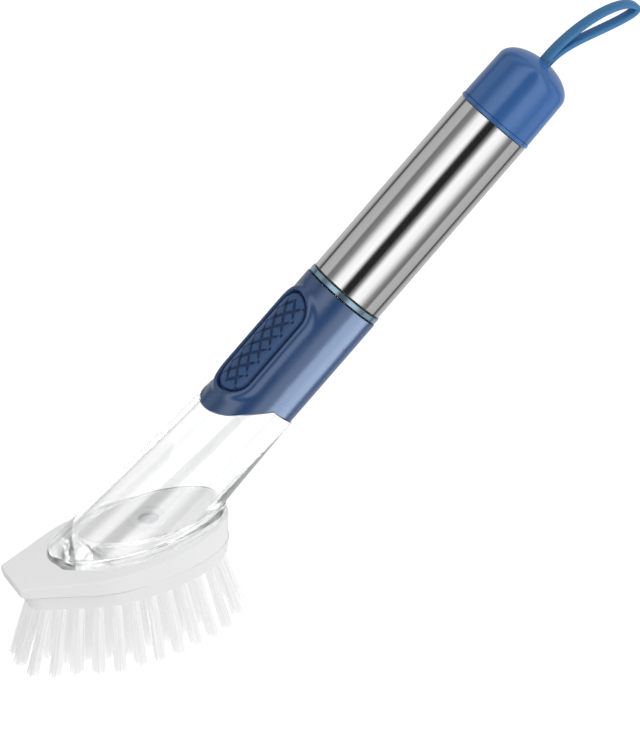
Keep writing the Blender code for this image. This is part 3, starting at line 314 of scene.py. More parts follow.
def ring_acrylic():
    """Pale blue acrylic with a mirror back; at both edges, where it dips into the recess it sits in, it is
    painted near-black as the shade of the narrow gaps there.
    """
    made = moulded("pale_blue_acrylic", "9BB9CC", "92B0C4", roughness=0.12, mottle_mm=6, grain_mm=0.5,
                    grain_depth_mm=0.004, Metallic=0.75)
    tree = made.node_tree
    shader = tree.nodes["Principled BSDF"]
    pale = shader.inputs["Base Color"].links[0].from_socket
    place = add(tree, "ShaderNodeTexCoord").outputs["Object"]
    along = add(tree, "ShaderNodeSeparateXYZ", {"Vector": place}).outputs["X"]
    middle = START.translation.x + RING_X + RING_LENGTH / 2
    off = add(tree, "ShaderNodeMath", {0: along, 1: middle}, operation="SUBTRACT").outputs["Value"]
    far = add(tree, "ShaderNodeMath", {0: off}, operation="ABSOLUTE").outputs["Value"]
    # Painted shade: beyond the ring's crown, on the collar at both edges, the colour is near-black to stand
    # for the shade in the gaps
    painted_gap_shade = add(tree, "ShaderNodeMath", {0: far, 1: RING_LENGTH / 2 - RING_RELIEF}, operation="GREATER_THAN")
    tone = add(tree, "ShaderNodeMix", {"Factor": painted_gap_shade.outputs["Value"], "A": pale, "B": srgb("121A22")},
               data_type="RGBA")
    tree.links.new(tone.outputs["Result"], shader.inputs["Base Color"])
    return made


def pad_silicone():
    """Matte blue silicone; the grooves are painted a darker blue as the shade that gathers in them."""
    made = moulded("matte_blue_silicone", "365C90", "305587", roughness=0.42, mottle_mm=8, grain_mm=0.3,
                    grain_depth_mm=0.015, Specular_IOR_Level=0.6)
    tree = made.node_tree
    shader = tree.nodes["Principled BSDF"]
    blue = shader.inputs["Base Color"].links[0].from_socket
    # Painted shade: the deeper a point lies in a groove, the more it is darkened towards a deep blue
    groove = add(tree, "ShaderNodeAttribute", attribute_name="groove")
    tone = add(tree, "ShaderNodeMix", {"Factor": groove.outputs["Fac"], "A": blue, "B": srgb("1D3B68")},
               data_type="RGBA")
    tree.links.new(tone.outputs["Result"], shader.inputs["Base Color"])
    return made


def clear_styrene():
    """Clear moulded plastic: glass-like, with the faint flow ripples of moulding; it greys with depth."""
    flow_mm, flow_depth_mm, density = 9, 0.02, 14.0
    made, tree, shader = new_material("clear_moulded_styrene")
    place = add(tree, "ShaderNodeTexCoord").outputs["Object"]
    flow = add(tree, "ShaderNodeMapping", {"Vector": place, "Scale": (per_mm(flow_mm * 4), per_mm(flow_mm),
                                                                      per_mm(flow_mm))})
    ripple = add(tree, "ShaderNodeTexNoise", {"Vector": flow.outputs["Vector"], "Scale": 1.0, "Detail": 2.0})
    bump = add(tree, "ShaderNodeBump", {"Height": ripple.outputs["Fac"], "Strength": 0.5,
                                        "Distance": flow_depth_mm * MM})
    shader.inputs["Base Color"].default_value = srgb("FEFEFE")
    shader.inputs["Roughness"].default_value = 0.015
    shader.inputs["IOR"].default_value = 1.49
    shader.inputs["Transmission Weight"].default_value = 1.0
    shader.inputs["Coat Weight"].default_value = 1.0
    shader.inputs["Coat IOR"].default_value = 2.6
    shader.inputs["Coat Roughness"].default_value = 0.02
    tree.links.new(bump.outputs["Normal"], shader.inputs["Normal"])
    # Painted glow: where a ray has been reflected more than once inside the wall, the plastic glows a pale
    # grey, standing in for light thrown to and fro inside it
    inner = add(tree, "ShaderNodeLightPath").outputs["Glossy Depth"]
    kept = add(tree, "ShaderNodeMath", {0: inner, 1: INNER_REFLECTIONS}, operation="GREATER_THAN")
    glow = add(tree, "ShaderNodeMath", {0: kept.outputs["Value"], 1: PAINTED_INNER_GLOW}, operation="MULTIPLY")
    shader.inputs["Emission Color"].default_value = srgb("F4F6F6")
    tree.links.new(glow.outputs["Value"], shader.inputs["Emission Strength"])
    depth = add(tree, "ShaderNodeVolumeAbsorption", {"Color": srgb("9AA3A3"), "Density": density})
    output = next(one for one in tree.nodes if one.type == "OUTPUT_MATERIAL")
    tree.links.new(depth.outputs["Volume"], output.inputs["Volume"])
    return made


# Modelling

def laid(name, rings, around=True, closed=False):
    """Lay a grid over rings of as many points each; where rings or points coincide the grid is welded."""
    rows = [*rings, rings[0]] if closed else list(rings)
    if around:
        rows = [[*ring, ring[0]] for ring in rows]
    across, along = len(rows[0]) - 1, len(rows) - 1
    bpy.ops.object.select_all(action="DESELECT")
    bpy.ops.mesh.primitive_grid_add(x_subdivisions=across, y_subdivisions=along, size=1)
    piece = bpy.context.object
    piece.name = piece.data.name = name
    for vertex in piece.data.vertices:
        column, row = round((vertex.co.x + 0.5) * across), round((vertex.co.y + 0.5) * along)
        vertex.co = rows[row][column]
    tidy_mesh(piece)
    return piece


def tidy_mesh(piece):
    bpy.ops.object.select_all(action="DESELECT")
    bpy.context.view_layer.objects.active = piece
    piece.select_set(True)
    bpy.ops.object.mode_set(mode="EDIT")
    bpy.ops.mesh.select_all(action="SELECT")
    bpy.ops.mesh.remove_doubles(threshold=WELD)
    bpy.ops.mesh.normals_make_consistent(inside=False)
    bpy.ops.object.mode_set(mode="OBJECT")


def apply_modifier(piece, kind, **settings):
    bpy.context.view_layer.objects.active = piece
    step = piece.modifiers.new(kind.lower(), kind)
    for key, value in settings.items():
        setattr(step, key, value)
    bpy.ops.object.modifier_apply(modifier=step.name)


def soften(piece, width, angle=35 * DEGREE):
    """Round a piece's hard edges."""
    apply_modifier(piece, "BEVEL", width=width, segments=3, limit_method="ANGLE", angle_limit=angle,
                   harden_normals=False)


def dress(piece, body, surface, slot, *nodes):
    """Give a finished piece its material, its body and the CAD nodes it stands for."""
    bpy.ops.object.select_all(action="DESELECT")
    bpy.context.view_layer.objects.active = piece
    piece.select_set(True)
    bpy.ops.object.shade_smooth_by_angle(angle=30 * DEGREE)
    piece.data.materials.clear()
    piece.data.materials.append(surface)
    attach(piece, body)
    if nodes:
        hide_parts(*nodes)


def finish_nodes(surface, *names):
    """Put a material on CAD nodes that stay."""
    for name in names:
        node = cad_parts[name]
        for slot in node.material_slots:
            slot.material = surface
        if not node.material_slots:
            node.data.materials.append(surface)


def handle_point(x, radius, angle):
    return START @ Vector((x, radius * math.sin(angle), radius * math.cos(angle)))


def round_angles():
    return [2 * math.pi * i / ROUND_STEPS for i in range(ROUND_STEPS)]


def turned(name, profile, closed=True):
    """A round piece on the handle's axis, from a profile of (along, radius) points."""
    return laid(name, [[handle_point(x, radius, angle) for angle in round_angles()] for x, radius in profile],
                closed=closed)


def arc(centre_x, centre_y, radius_x, radius_y, start, end, steps):
    return [(centre_x + radius_x * math.cos(start + (end - start) * i / steps),
             centre_y + radius_y * math.sin(start + (end - start) * i / steps)) for i in range(steps + 1)]


# Cap and strap

def make_cap(surface):
    """The domed cap, with a shallow groove that sets off the band at its rim."""
    band = CAP_RADIUS + CAP_BAND_PROUD
    groove_x = RIM_X + CAP_BAND_LENGTH
    hole = math.asin(STRAP_HOLE_RADIUS / CAP_SHOULDER_RADIUS)
    inner = CAP_SHOULDER_RADIUS - CAP_WALL
    inner_hole = math.asin(STRAP_HOLE_RADIUS / inner)
    outside = [(RIM_X, CAP_RADIUS - CAP_WALL), (RIM_X, band - CAP_BAND_PROUD), (RIM_X + CAP_BAND_PROUD, band),
               (groove_x - CAP_GROOVE / 2, band), (groove_x, CAP_RADIUS - CAP_GROOVE),
               (groove_x + CAP_GROOVE / 2, CAP_RADIUS - CAP_GROOVE / 4),
               (groove_x + CAP_GROOVE * 2, CAP_RADIUS)]
    dome_x = CAP_TOP_X - CAP_DOME_HEIGHT
    dome = arc(dome_x, 0, CAP_DOME_HEIGHT, CAP_SHOULDER_RADIUS, math.pi / 2, hole, CAP_STEPS)
    inside = arc(dome_x, 0, CAP_DOME_HEIGHT - CAP_WALL, inner, inner_hole, math.pi / 2, CAP_STEPS // 2)
    piece = turned("cap_dome", outside + dome + inside)
    dress(piece, "cap", surface, "cap_gloss_blue", "end_cap")


def bezier(points, share):
    points = list(points)
    while len(points) > 1:
        points = [a.lerp(b, share) for a, b in zip(points, points[1:])]
    return points[0]


def strap_line(steps):
    line = []
    for shares in (STRAP_OUTWARD_SHARES, STRAP_RETURN_SHARES):
        controls = [Vector((CAP_TOP_X + x * STRAP_REACH, 0, z * STRAP_DROP)) for x, z in shares]
        run = [bezier(controls, i / steps) for i in range(steps + 1)]
        line += run if not line else run[1:]
    return line


def band_section(width, thickness, rounding):
    """A flat section with round corners, as (across, out) points."""
    points = []
    for side_x, side_y, start in ((1, 1, 0), (-1, 1, 90), (-1, -1, 180), (1, -1, 270)):
        points += arc(side_x * (width / 2 - rounding), side_y * (thickness / 2 - rounding),
                      rounding, rounding, start * DEGREE, (start + 90) * DEGREE, CORNER_STEPS)
    return points


def make_strap(surface):
    """The looped band with soft edges, the stem in which its ends meet, and the knob shut inside the cap."""
    section = band_section(STRAP_WIDTH, STRAP_THICKNESS, STRAP_ROUNDING)
    line = strap_line(STRAP_STEPS)
    rings = []
    for i, point in enumerate(line):
        run = line[min(i + 1, len(line) - 1)] - line[max(i - 1, 0)]
        out = Vector((-run.z, 0, run.x)).normalized()
        rings.append([START @ (point + Vector((0, across, 0)) + out * rise) for across, rise in section])
    ends = [[sum(ring, Vector()) / len(ring)] * len(ring) for ring in (rings[0], rings[-1])]
    band = laid("strap_band", [ends[0], *rings, ends[1]])
    stack = STRAP_DROP * 2 * STRAP_OUTWARD_SHARES[0][1] + STRAP_THICKNESS
    knob_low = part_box("hanging_strap")[0].x - START.translation.x
    knob_radius = (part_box("hanging_strap")[1].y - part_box("hanging_strap")[0].y) / 2
    knob_top = knob_low + KNOB_THICKNESS
    foot_x = knob_low + STRAP_STEM_FOOT
    stem_places = [(foot_x, 0), (foot_x, 1)]
    stem_places += [(CAP_TOP_X + STRAP_STEM * height, share) for height, share in STRAP_STEM_SHARES]
    stem_section = band_section(STRAP_WIDTH, stack, STRAP_ROUNDING)
    stem_rings = [[START @ Vector((x, across * share, rise * share)) for across, rise in stem_section]
                  for x, share in stem_places]
    stem = laid("strap_stem", stem_rings)
    knob_profile = [(knob_low, 0), (knob_low, knob_radius), (knob_top, knob_radius), (knob_top, 0)]
    knob = turned("strap_knob", knob_profile, closed=False)
    for piece in (stem, knob):
        dress(piece, "cap", surface, "strap_silicone")
    dress(band, "cap", surface, "strap_silicone", "hanging_strap")


# Handle

def make_sleeve(surface):
    inside = SLEEVE_RADIUS - SLEEVE_WALL
    piece = turned("steel_tube", [(SLEEVE_X, inside), (SLEEVE_X, SLEEVE_RADIUS),
                                  (SLEEVE_END_X, SLEEVE_RADIUS), (SLEEVE_END_X, inside)])
    soften(piece, SLEEVE_ROUNDING)
    dress(piece, "handle", surface, "polished_steel", "steel_sleeve")


def make_trim_ring(surface):
    """The ring stands proud between the steel and the grip, on a lower collar that fills the recess it sits
    in; the collar is painted near-black as the shade in the gaps beside the ring.
    """
    start, end = RING_X + RING_RELIEF, RING_X + RING_LENGTH - RING_RELIEF
    low, high = RING_X + RING_COLLAR_GAP, RING_X + RING_LENGTH - RING_COLLAR_GAP
    rounding, height = RING_ROUNDING, RING_RADIUS - RING_ROUNDING
    crown = arc(start + rounding, height, rounding, rounding, math.pi, math.pi / 2, CORNER_STEPS)
    crown += arc(end - rounding, height, rounding, rounding, math.pi / 2, 0, CORNER_STEPS)
    profile = [(low, RING_BORE), (low, RING_COLLAR_RADIUS), (start, RING_COLLAR_RADIUS), *crown,
               (end, RING_COLLAR_RADIUS), (high, RING_COLLAR_RADIUS), (high, RING_BORE)]
    piece = turned("pale_blue_ring", profile)
    dress(piece, "handle", surface, "ring_pale_blue", "trim_ring")


def tongue_corner():
    """The angle from the pad's direction at which the tongue's flank meets the square back edge."""
    round_run = TONGUE_ROUNDING * math.sin(TONGUE_FLANK)
    round_rise = TONGUE_ROUNDING * (1 - math.cos(TONGUE_FLANK))
    straight_run = (BACK_EDGE_X - TONGUE_TIP_X - round_rise) / math.tan(TONGUE_FLANK)
    return (round_run + straight_run) / GRIP_RADIUS


def edge_x(angle):
    """Where the grip's lower edge lies: a rounded tongue under the pad, cut square round the back."""
    angle = abs(math.remainder(angle, 2 * math.pi))
    if angle >= tongue_corner():
        return BACK_EDGE_X
    run = angle * GRIP_RADIUS
    round_run = TONGUE_ROUNDING * math.sin(TONGUE_FLANK)
    if run <= round_run:
        return TONGUE_TIP_X + TONGUE_ROUNDING - math.sqrt(TONGUE_ROUNDING ** 2 - run ** 2)
    round_rise = TONGUE_ROUNDING * (1 - math.cos(TONGUE_FLANK))
    return TONGUE_TIP_X + round_rise + (run - round_run) * math.tan(TONGUE_FLANK)


def stadium_point(x, y, margin):
    """Where a ray from the pad's middle towards (x, y) meets the pad's outline grown by a margin."""
    half = PAD_WIDTH / 2 + margin
    straight = (PAD_LENGTH - PAD_WIDTH) / 2
    if abs(y) > 0 and abs(x) * half <= straight * abs(y):
        return half * x / abs(y), math.copysign(half, y)
    run = Vector((abs(x), abs(y))).normalized()
    reach = run.x * straight + math.sqrt(half ** 2 - (run.y * straight) ** 2)
    return math.copysign(run.x * reach, x), math.copysign(run.y * reach, y)


def grip_border():
    """The grip's border, unrolled: (along, angle) points up one side of the tongue, along the back seam,
    and over the top edge, the same on both sides."""
    corner = tongue_corner()
    half = [(edge_x(corner * i / TONGUE_STEPS), corner * i / TONGUE_STEPS) for i in range(TONGUE_STEPS)]
    half += [(BACK_EDGE_X, corner + (math.pi - corner) * i / BACK_STEPS) for i in range(BACK_STEPS)]
    half += [(BACK_EDGE_X + (GRIP_TOP_X - BACK_EDGE_X) * i / SEAM_STEPS, math.pi) for i in range(SEAM_STEPS)]
    half += [(GRIP_TOP_X, math.pi * (1 - i / TOP_STEPS)) for i in range(TOP_STEPS + 1)]
    return half + [(x, -angle) for x, angle in reversed(half[1:-1])]


def make_grip(surface):
    """The grip's skin, laid in rings that spread from the window over the bezel to its border."""
    border = grip_border()
    rings = []
    for margin, height in BEZEL_SECTION:
        ring = []
        for x, angle in border:
            side_x, side_y = stadium_point(x - PAD_X, angle * GRIP_RADIUS, margin * MM)
            ring.append((PAD_X + side_x, math.asin(side_y / GRIP_RADIUS), GRIP_RADIUS + height * MM))
        rings.append(ring)
    last = rings[-1]
    for step in range(1, GRIP_STEPS + 1):
        share = step / GRIP_STEPS
        rings.append([(a[0] + (x - a[0]) * share, a[1] + (angle - a[1]) * share, GRIP_RADIUS)
                      for a, (x, angle) in zip(last, border)])
    piece = laid("grip_skin", [[handle_point(x, radius, angle) for x, angle, radius in ring]
                               for ring in rings])
    apply_modifier(piece, "SOLIDIFY", thickness=GRIP_WALL, offset=-1, use_even_offset=True)
    soften(piece, GRIP_EDGE_ROUNDING, angle=50 * DEGREE)
    dress(piece, "handle", surface, "grip_satin_blue", "grip_shell")


def lattice_depth(x, y):
    """How deep the pad is grooved at a point: two sets of slanting grooves that fade at the sides, where only
    the dots at their crossings are left."""
    pitch = 1 / math.hypot(1 / LATTICE_PITCH_X, 1 / LATTICE_PITCH_Y)
    grooves = 0
    for sign in (1, -1):
        turns = x / LATTICE_PITCH_X + sign * y / LATTICE_PITCH_Y
        share = 2 * abs(turns - round(turns)) * pitch / LATTICE_GROOVE
        share = min(1.0, max(0.0, (share - LATTICE_BED_SHARE) / (1 - LATTICE_BED_SHARE)))
        grooves += 0.5 + 0.5 * math.cos(math.pi * share)
    inside = min(LATTICE_HALF_WIDTH - abs(y), LATTICE_HALF_LENGTH - abs(x))
    fade = min(1.0, max(-1.0, inside / LATTICE_FADE))
    return LATTICE_DEPTH * min(1.0, max(0.0, grooves - 1 + fade))


def make_pad(surface):
    """The pad's crowned top with its lattice and rounded edge, and its wall, which flares a little."""
    half, straight = PAD_WIDTH / 2, (PAD_LENGTH - PAD_WIDTH) / 2
    rows, columns = 116, 320
    rings = []
    for row in range(rows + 1):
        y = half * math.sin(math.pi * (row / rows - 0.5))
        reach = straight + math.sqrt(max(half ** 2 - y ** 2, 0))
        ring = []
        for column in range(columns + 1):
            x = reach * (2 * column / columns - 1)
            beyond = max(abs(x) - straight, 0)
            inside = half - math.hypot(beyond, y)
            drop = 0.0
            if inside < PAD_ROUNDING:
                from_centre = PAD_ROUNDING - max(inside, 0)
                drop = PAD_ROUNDING - math.sqrt(max(PAD_ROUNDING ** 2 - from_centre ** 2, 0))
            radius = PAD_TOP_RADIUS - drop - lattice_depth(x, y)
            ring.append(START @ Vector((PAD_X + x, y, math.sqrt(radius ** 2 - y ** 2))))
        rings.append(ring)
    piece = laid("pad_skin", rings, around=False)
    bpy.ops.object.mode_set(mode="EDIT")
    bpy.ops.mesh.select_mode(type="EDGE")
    bpy.ops.mesh.select_all(action="DESELECT")
    bpy.ops.mesh.select_non_manifold(extend=False)
    bpy.ops.mesh.extrude_edges_move(TRANSFORM_OT_translate={"value": (0, 0, PAD_ROUNDING - PAD_THICKNESS)})
    flare_along, flare_across = (1 + 2 * PAD_SKIRT_FLARE / size for size in (PAD_LENGTH, PAD_WIDTH))
    bpy.ops.transform.resize(value=(flare_along, flare_across, 1),
                             center_override=START @ Vector((PAD_X, 0, 0)))
    bpy.ops.mesh.edge_face_add()
    bpy.ops.mesh.select_all(action="SELECT")
    bpy.ops.mesh.normals_make_consistent(inside=False)
    bpy.ops.object.mode_set(mode="OBJECT")
    # How deep each point lies in the grooves, which the material paints as shade
    depth = piece.data.attributes.new("groove", "FLOAT", "POINT")
    for vertex in piece.data.vertices:
        place = START.inverted() @ vertex.co
        depth.data[vertex.index].value = lattice_depth(place.x - PAD_X, place.y) / LATTICE_DEPTH
    dress(piece, "pad", surface, "pad_silicone", "thumb_pad")


# Clear neck

def edge_ring(offset, radius):
    return [handle_point(edge_x(angle) + offset, radius, angle) for angle in round_angles()]


def straight_ring(x, radius):
    return [handle_point(x, radius, angle) for angle in round_angles()]


def foot_ring(length, width, centre, z):
    """An ellipse parallel to the deck, its points matched to those round the handle."""
    return [DECK @ Vector((centre - length / 2 * math.cos(angle), width / 2 * math.sin(angle), z))
            for angle in round_angles()]


def between(ring_a, ring_b, share):
    return [a.lerp(b, share) for a, b in zip(ring_a, ring_b)]


def cut_pad_opening(neck):
    """The opening in the hidden shank that the pad sinks into when it is pressed."""
    margin = PAD_SKIRT_FLARE + GAP
    outline = [stadium_point(math.cos(angle), math.sin(angle), margin) for angle in round_angles()]
    cutter = laid("pad_opening", [[START @ Vector((PAD_X + x, y, z)) for x, y in outline]
                                  for z in (PAD_OPENING_LOW_Z, PAD_OPENING_TOP_Z)])
    bpy.ops.object.mode_set(mode="EDIT")
    bpy.ops.mesh.select_all(action="SELECT")
    bpy.ops.mesh.fill_holes(sides=0)
    bpy.ops.mesh.select_all(action="SELECT")
    bpy.ops.mesh.normals_make_consistent(inside=False)
    bpy.ops.object.mode_set(mode="OBJECT")
    apply_modifier(neck, "BOOLEAN", object=cutter, operation="DIFFERENCE", solver="EXACT")
    bpy.data.objects.remove(cutter)


def make_neck(surface):
    """The clear neck: it flares from the grip to the oval foot, with a rounded lip and one cavity."""
    outline = edge_ring(-GAP, NECK_RADIUS)
    wall_length, wall_width = FOOT_LENGTH - 2 * FOOT_LIP, FOOT_WIDTH - 2 * FOOT_LIP
    wall = foot_ring(wall_length, wall_width, FOOT_CENTRE, FOOT_WALL_Z)
    foot_z = GAP - FOOT_SINK
    plate_top = foot_z + PLATE_RAISE + PLATE_THICKNESS
    lip = [foot_ring(wall_length + 2 * out, wall_width + 2 * out, FOOT_CENTRE, z)
           for out, z in arc(0, FOOT_WIDEST_Z, FOOT_LIP, FOOT_WALL_Z - FOOT_WIDEST_Z, math.pi / 2, 0,
                          LIP_STEPS)
           + arc(0, FOOT_WIDEST_Z, FOOT_LIP, FOOT_WIDEST_Z - FOOT_GROOVE_Z, 0, -math.pi / 2,
                 LIP_STEPS // 2)[1:]]
    rebate = 2 * PLATE_REBATE
    fillet_z = plate_top + GAP + CAVITY_FILLET_HEIGHT
    fillet = [foot_ring(CAVITY_LENGTH + 2 * out, CAVITY_WIDTH + 2 * out, CAVITY_CENTRE, z)
              for out, z in arc(0, fillet_z, CAVITY_FILLET, CAVITY_FILLET_HEIGHT, -math.pi / 2, 0,
                                FILLET_STEPS)]
    mouth = edge_ring(NECK_SHOULDER, NECK_RADIUS - NECK_WALL)
    rings = [between(outline, wall, i / NECK_STEPS) for i in range(NECK_STEPS)] + lip
    rings += [foot_ring(wall_length, wall_width, FOOT_CENTRE, foot_z),
              foot_ring(CAVITY_LENGTH + rebate, CAVITY_WIDTH + rebate, CAVITY_CENTRE, foot_z),
              foot_ring(CAVITY_LENGTH + rebate, CAVITY_WIDTH + rebate, CAVITY_CENTRE, plate_top + GAP)]
    rings += fillet[:-1] + [between(fillet[-1], mouth, i / NECK_STEPS) for i in range(NECK_STEPS + 1)]
    rings += [edge_ring(2 * NECK_SHOULDER, SHANK_BORE), straight_ring(NECK_TOP_X, SHANK_BORE),
              straight_ring(NECK_TOP_X, SHANK_RADIUS), edge_ring(-GAP, SHANK_RADIUS)]
    piece = laid("neck_flare", rings, closed=True)
    cut_pad_opening(piece)
    # A shadow or bounced light of its own would darken the head below, which clear plastic doesn't do
    piece.visible_shadow = piece.visible_diffuse = False
    dress(piece, "handle", surface, "clear_plastic", "clear_neck")


# Brush head

def head_outline(inset, setback=0.0, rounding=NOSE_ROUNDING, heel_steps=48, side_steps=16, corner_steps=10):
    """The head seen from above: an oval heel, flanks that narrow to the nose, and a short square tip."""
    half_width = HEAD_WIDTH / 2 - inset
    heel = HEEL_REACH - WIDEST_X - inset
    side = SIDE_ROUNDING - inset
    nose_x = setback + inset - NOSE_REACH
    half = arc(WIDEST_X, 0, heel, half_width, 0, math.pi / 2, heel_steps)
    half += [(WIDEST_X - side * math.sin(NOSE_FLANK * i / side_steps),
              half_width - side * (1 - math.cos(NOSE_FLANK * i / side_steps)))
             for i in range(1, side_steps + 1)]
    flank_x, flank_y = half[-1]
    corner_x = nose_x + rounding
    corner_y = flank_y + (corner_x - flank_x) * math.tan(NOSE_FLANK) - rounding / math.cos(NOSE_FLANK)
    half += arc(corner_x, corner_y, rounding, rounding, math.pi / 2 + NOSE_FLANK, math.pi, corner_steps)
    return half + [(x, -y) for x, y in reversed(half[1:])]


def flat_ring(outline, z, place=DECK):
    return [place @ Vector((x, y, z)) for x, y in outline]


def parting_ring(outline, lift=0.0):
    """The outline laid on the plane where the head's two halves meet."""
    return [DECK @ Vector((x, y, lift - PARTING_DEPTH - x * math.tan(BRISTLE_TILT))) for x, y in outline]


def oval_like(outline, length, width, centre):
    """An oval with a point in the direction of each of the outline's."""
    points = []
    for x, y in outline:
        angle = math.atan2(y / width, (x - centre) / length)
        points.append((centre + length / 2 * math.cos(angle), width / 2 * math.sin(angle)))
    return points


def make_head_top(surface):
    """The head's upper half: deck and scraper nose with a rounded edge, the foot's pocket and a socket."""
    outline = head_outline(0)
    rounding = DECK_ROUNDING
    edge = [flat_ring(head_outline(inset), z)
            for inset, z in arc(rounding, -rounding, -rounding, rounding, 0, math.pi / 2, DECK_EDGE_STEPS)]
    pocket = oval_like(outline, FOOT_LENGTH - 2 * FOOT_LIP + 2 * GAP, FOOT_WIDTH - 2 * FOOT_LIP + 2 * GAP,
                       FOOT_CENTRE)
    socket = oval_like(outline, 2 * SOCKET_RADIUS, 2 * SOCKET_RADIUS, CAVITY_CENTRE)
    hollow = head_outline(SHELL_DRAFT + SHELL_WALL)
    rings = [parting_ring(head_outline(SHELL_DRAFT)),
             *edge, flat_ring(pocket, 0), flat_ring(pocket, -FOOT_SINK), flat_ring(socket, -FOOT_SINK),
             flat_ring(socket, -SHELL_WALL), flat_ring(hollow, -SHELL_WALL), parting_ring(hollow)]
    piece = laid("head_top", rings, closed=True)
    dress(piece, "head", surface, "white_plastic", "head_shell")


def make_head_band(surface):
    """The head's lower half, set back under the nose; its gap to the upper half shuts towards the heel."""
    rounding, soft = BAND_ROUNDING, BAND_ROUNDING * ROUNDING_MIDDLE
    top = BAND_HEIGHT - GAP

    def ring(inset, z, edge=0.0):
        """The outline at a height; where the gap shuts, the ring is lifted by edge."""
        points = []
        for x, y in head_outline(SHELL_DRAFT + inset, BAND_SETBACK, BAND_NOSE_ROUNDING):
            shut = min(1.0, max(0.0, (x - PARTING_OPEN_X) / (PARTING_SHUT_X - PARTING_OPEN_X)))
            points.append(BRISTLE_PLANE @ Vector((x, y, z + shut * edge)))
        return points

    middle = oval_like(head_outline(0), MM, MM, 0)
    rings = [flat_ring(middle, 0, BRISTLE_PLANE), ring(BAND_DRAFT + rounding, 0),
             ring(BAND_DRAFT + soft, soft), ring(BAND_DRAFT, rounding),
             ring(0, top - rounding, rounding + GAP), ring(soft, top - soft, soft + GAP),
             ring(rounding, top, GAP), flat_ring(middle, top, BRISTLE_PLANE)]
    piece = laid("head_band", rings)
    apply_modifier(piece, "WELD", merge_threshold=WELD)
    dress(piece, "head", surface, "white_plastic", "bristle_plate")


# Bristles

def cad_strands():
    """The foot and the tip of each of the CAD strands, in the bristle plane's frame."""
    shape = bmesh.new()
    shape.from_mesh(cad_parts["bristle_field"].data)
    shape.transform(BRISTLE_PLANE.inverted())
    bmesh.ops.remove_doubles(shape, verts=shape.verts, dist=WELD)
    strands, seen = [], set()
    for vertex in shape.verts:
        if vertex.co.z > STRAND_HALFWAY_Z or vertex in seen:
            continue
        tips = {vertex}
        for _ in range(2):
            tips |= {edge.other_vert(tip) for tip in tips for edge in tip.link_edges
                     if edge.other_vert(tip).co.z <= STRAND_HALFWAY_Z}
        seen |= tips
        feet = {edge.other_vert(tip) for tip in tips for edge in tip.link_edges} - tips
        strands.append((sum((foot.co for foot in feet), Vector()) / len(feet),
                        sum((tip.co for tip in tips), Vector()) / len(tips)))
    shape.free()
    return strands


def tufts():
    """The foot and the tip of each tuft's middle strand: the one with six neighbours close round it."""
    strands = cad_strands()
    return [(foot, tip) for foot, tip in strands
            if sum((other - foot).length < TUFT_PITCH for other, _ in strands) == CAD_STRANDS_IN_TUFT]


def make_bristles(surface):
    """Each tuft is a round bundle of fine strands that fans out a little and is cut nearly level."""
    chance = random.Random(11)
    sink = Vector((0, 0, TUFT_SINK))
    low_corner, high_corner = cad_box
    points, faces = [], []
    for foot, tip in tufts():
        foot = foot + Vector((max(0.0, NOSE_TUFTS_X - foot.x) * NOSE_PULL_SHARE, 0, 0))
        for number in range(STRANDS_IN_TUFT):
            reach, angle = math.sqrt((number + 0.5) / STRANDS_IN_TUFT), number * GOLDEN_ANGLE
            side = Vector((reach * math.cos(angle), reach * math.sin(angle), 0))
            stray = Vector((chance.gauss(0, STRAY), chance.gauss(0, STRAY), chance.uniform(0, UNEVEN)))
            low, high = foot + side * TUFT_FOOT_RADIUS + sink, tip + side * TUFT_TIP_RADIUS + stray
            turn = chance.uniform(0, 2 * math.pi)
            for k in range(STRAND_RINGS):
                share = k / (STRAND_RINGS - 1)
                centre = low.lerp(high, share) + stray * (BOW_SHARE * share * (1 - share))
                radius = STRAND_RADIUS * (1 + (STRAND_TIP_SHARE - 1) * share)
                for corner in range(3):
                    around = turn + 2 * math.pi * corner / 3
                    out = Vector((radius * math.cos(around), radius * math.sin(around), 0))
                    point = BRISTLE_PLANE @ (centre + out)
                    # Held inside the CAD's box, at the sides and at the tips
                    across = min(max(point.y, low_corner[1]), high_corner[1])
                    points.append((point.x, across, max(point.z, low_corner[2])))
            first, last = len(points) - 3 * STRAND_RINGS, len(points) - 1
            faces.append((first, first + 1, first + 2))
            faces.append((last, last - 1, last - 2))
            for k in range(STRAND_RINGS - 1):
                for corner in range(3):
                    a, b = first + 3 * k + corner, first + 3 * k + (corner + 1) % 3
                    faces.append((b, a, a + 3, b + 3))
    mesh = bpy.data.meshes.new("bristle_tufts")
    mesh.from_pydata(points, [], faces)
    piece = bpy.data.objects.new("bristle_tufts", mesh)
    bpy.context.scene.collection.objects.link(piece)
    dress(piece, "head", surface, "nylon_bristle", "bristle_field")


# Studio

# Brightness seen round the handle, by angle in degrees from the camera's side: two soft boxes with a dark gap
# between them, in a pale room
ROOM = ((-180, 0.55), (-142, 0.56), (-128, 0.40), (-124, 0.08), (-118, 0.08), (-112, 0.50), (-82, 0.55),
        (-76, 0.19), (-61, 0.28), (-49, 0.86), (-43, 1.12), (-25, 1.24), (-19, 0.8), (-14, 0.12), (-11, 0.02),
        (5, 0.02), (14, 0.33), (19, 0.87), (25, 1.22), (43, 1.14), (55, 0.72), (61, 0.40), (68, 0.24),
        (76, 0.18), (81, 0.55), (112, 0.50), (116, 0.08), (121, 0.08), (127, 0.38), (142, 0.56), (180, 0.55))
ROOM_TURN = 4 * DEGREE
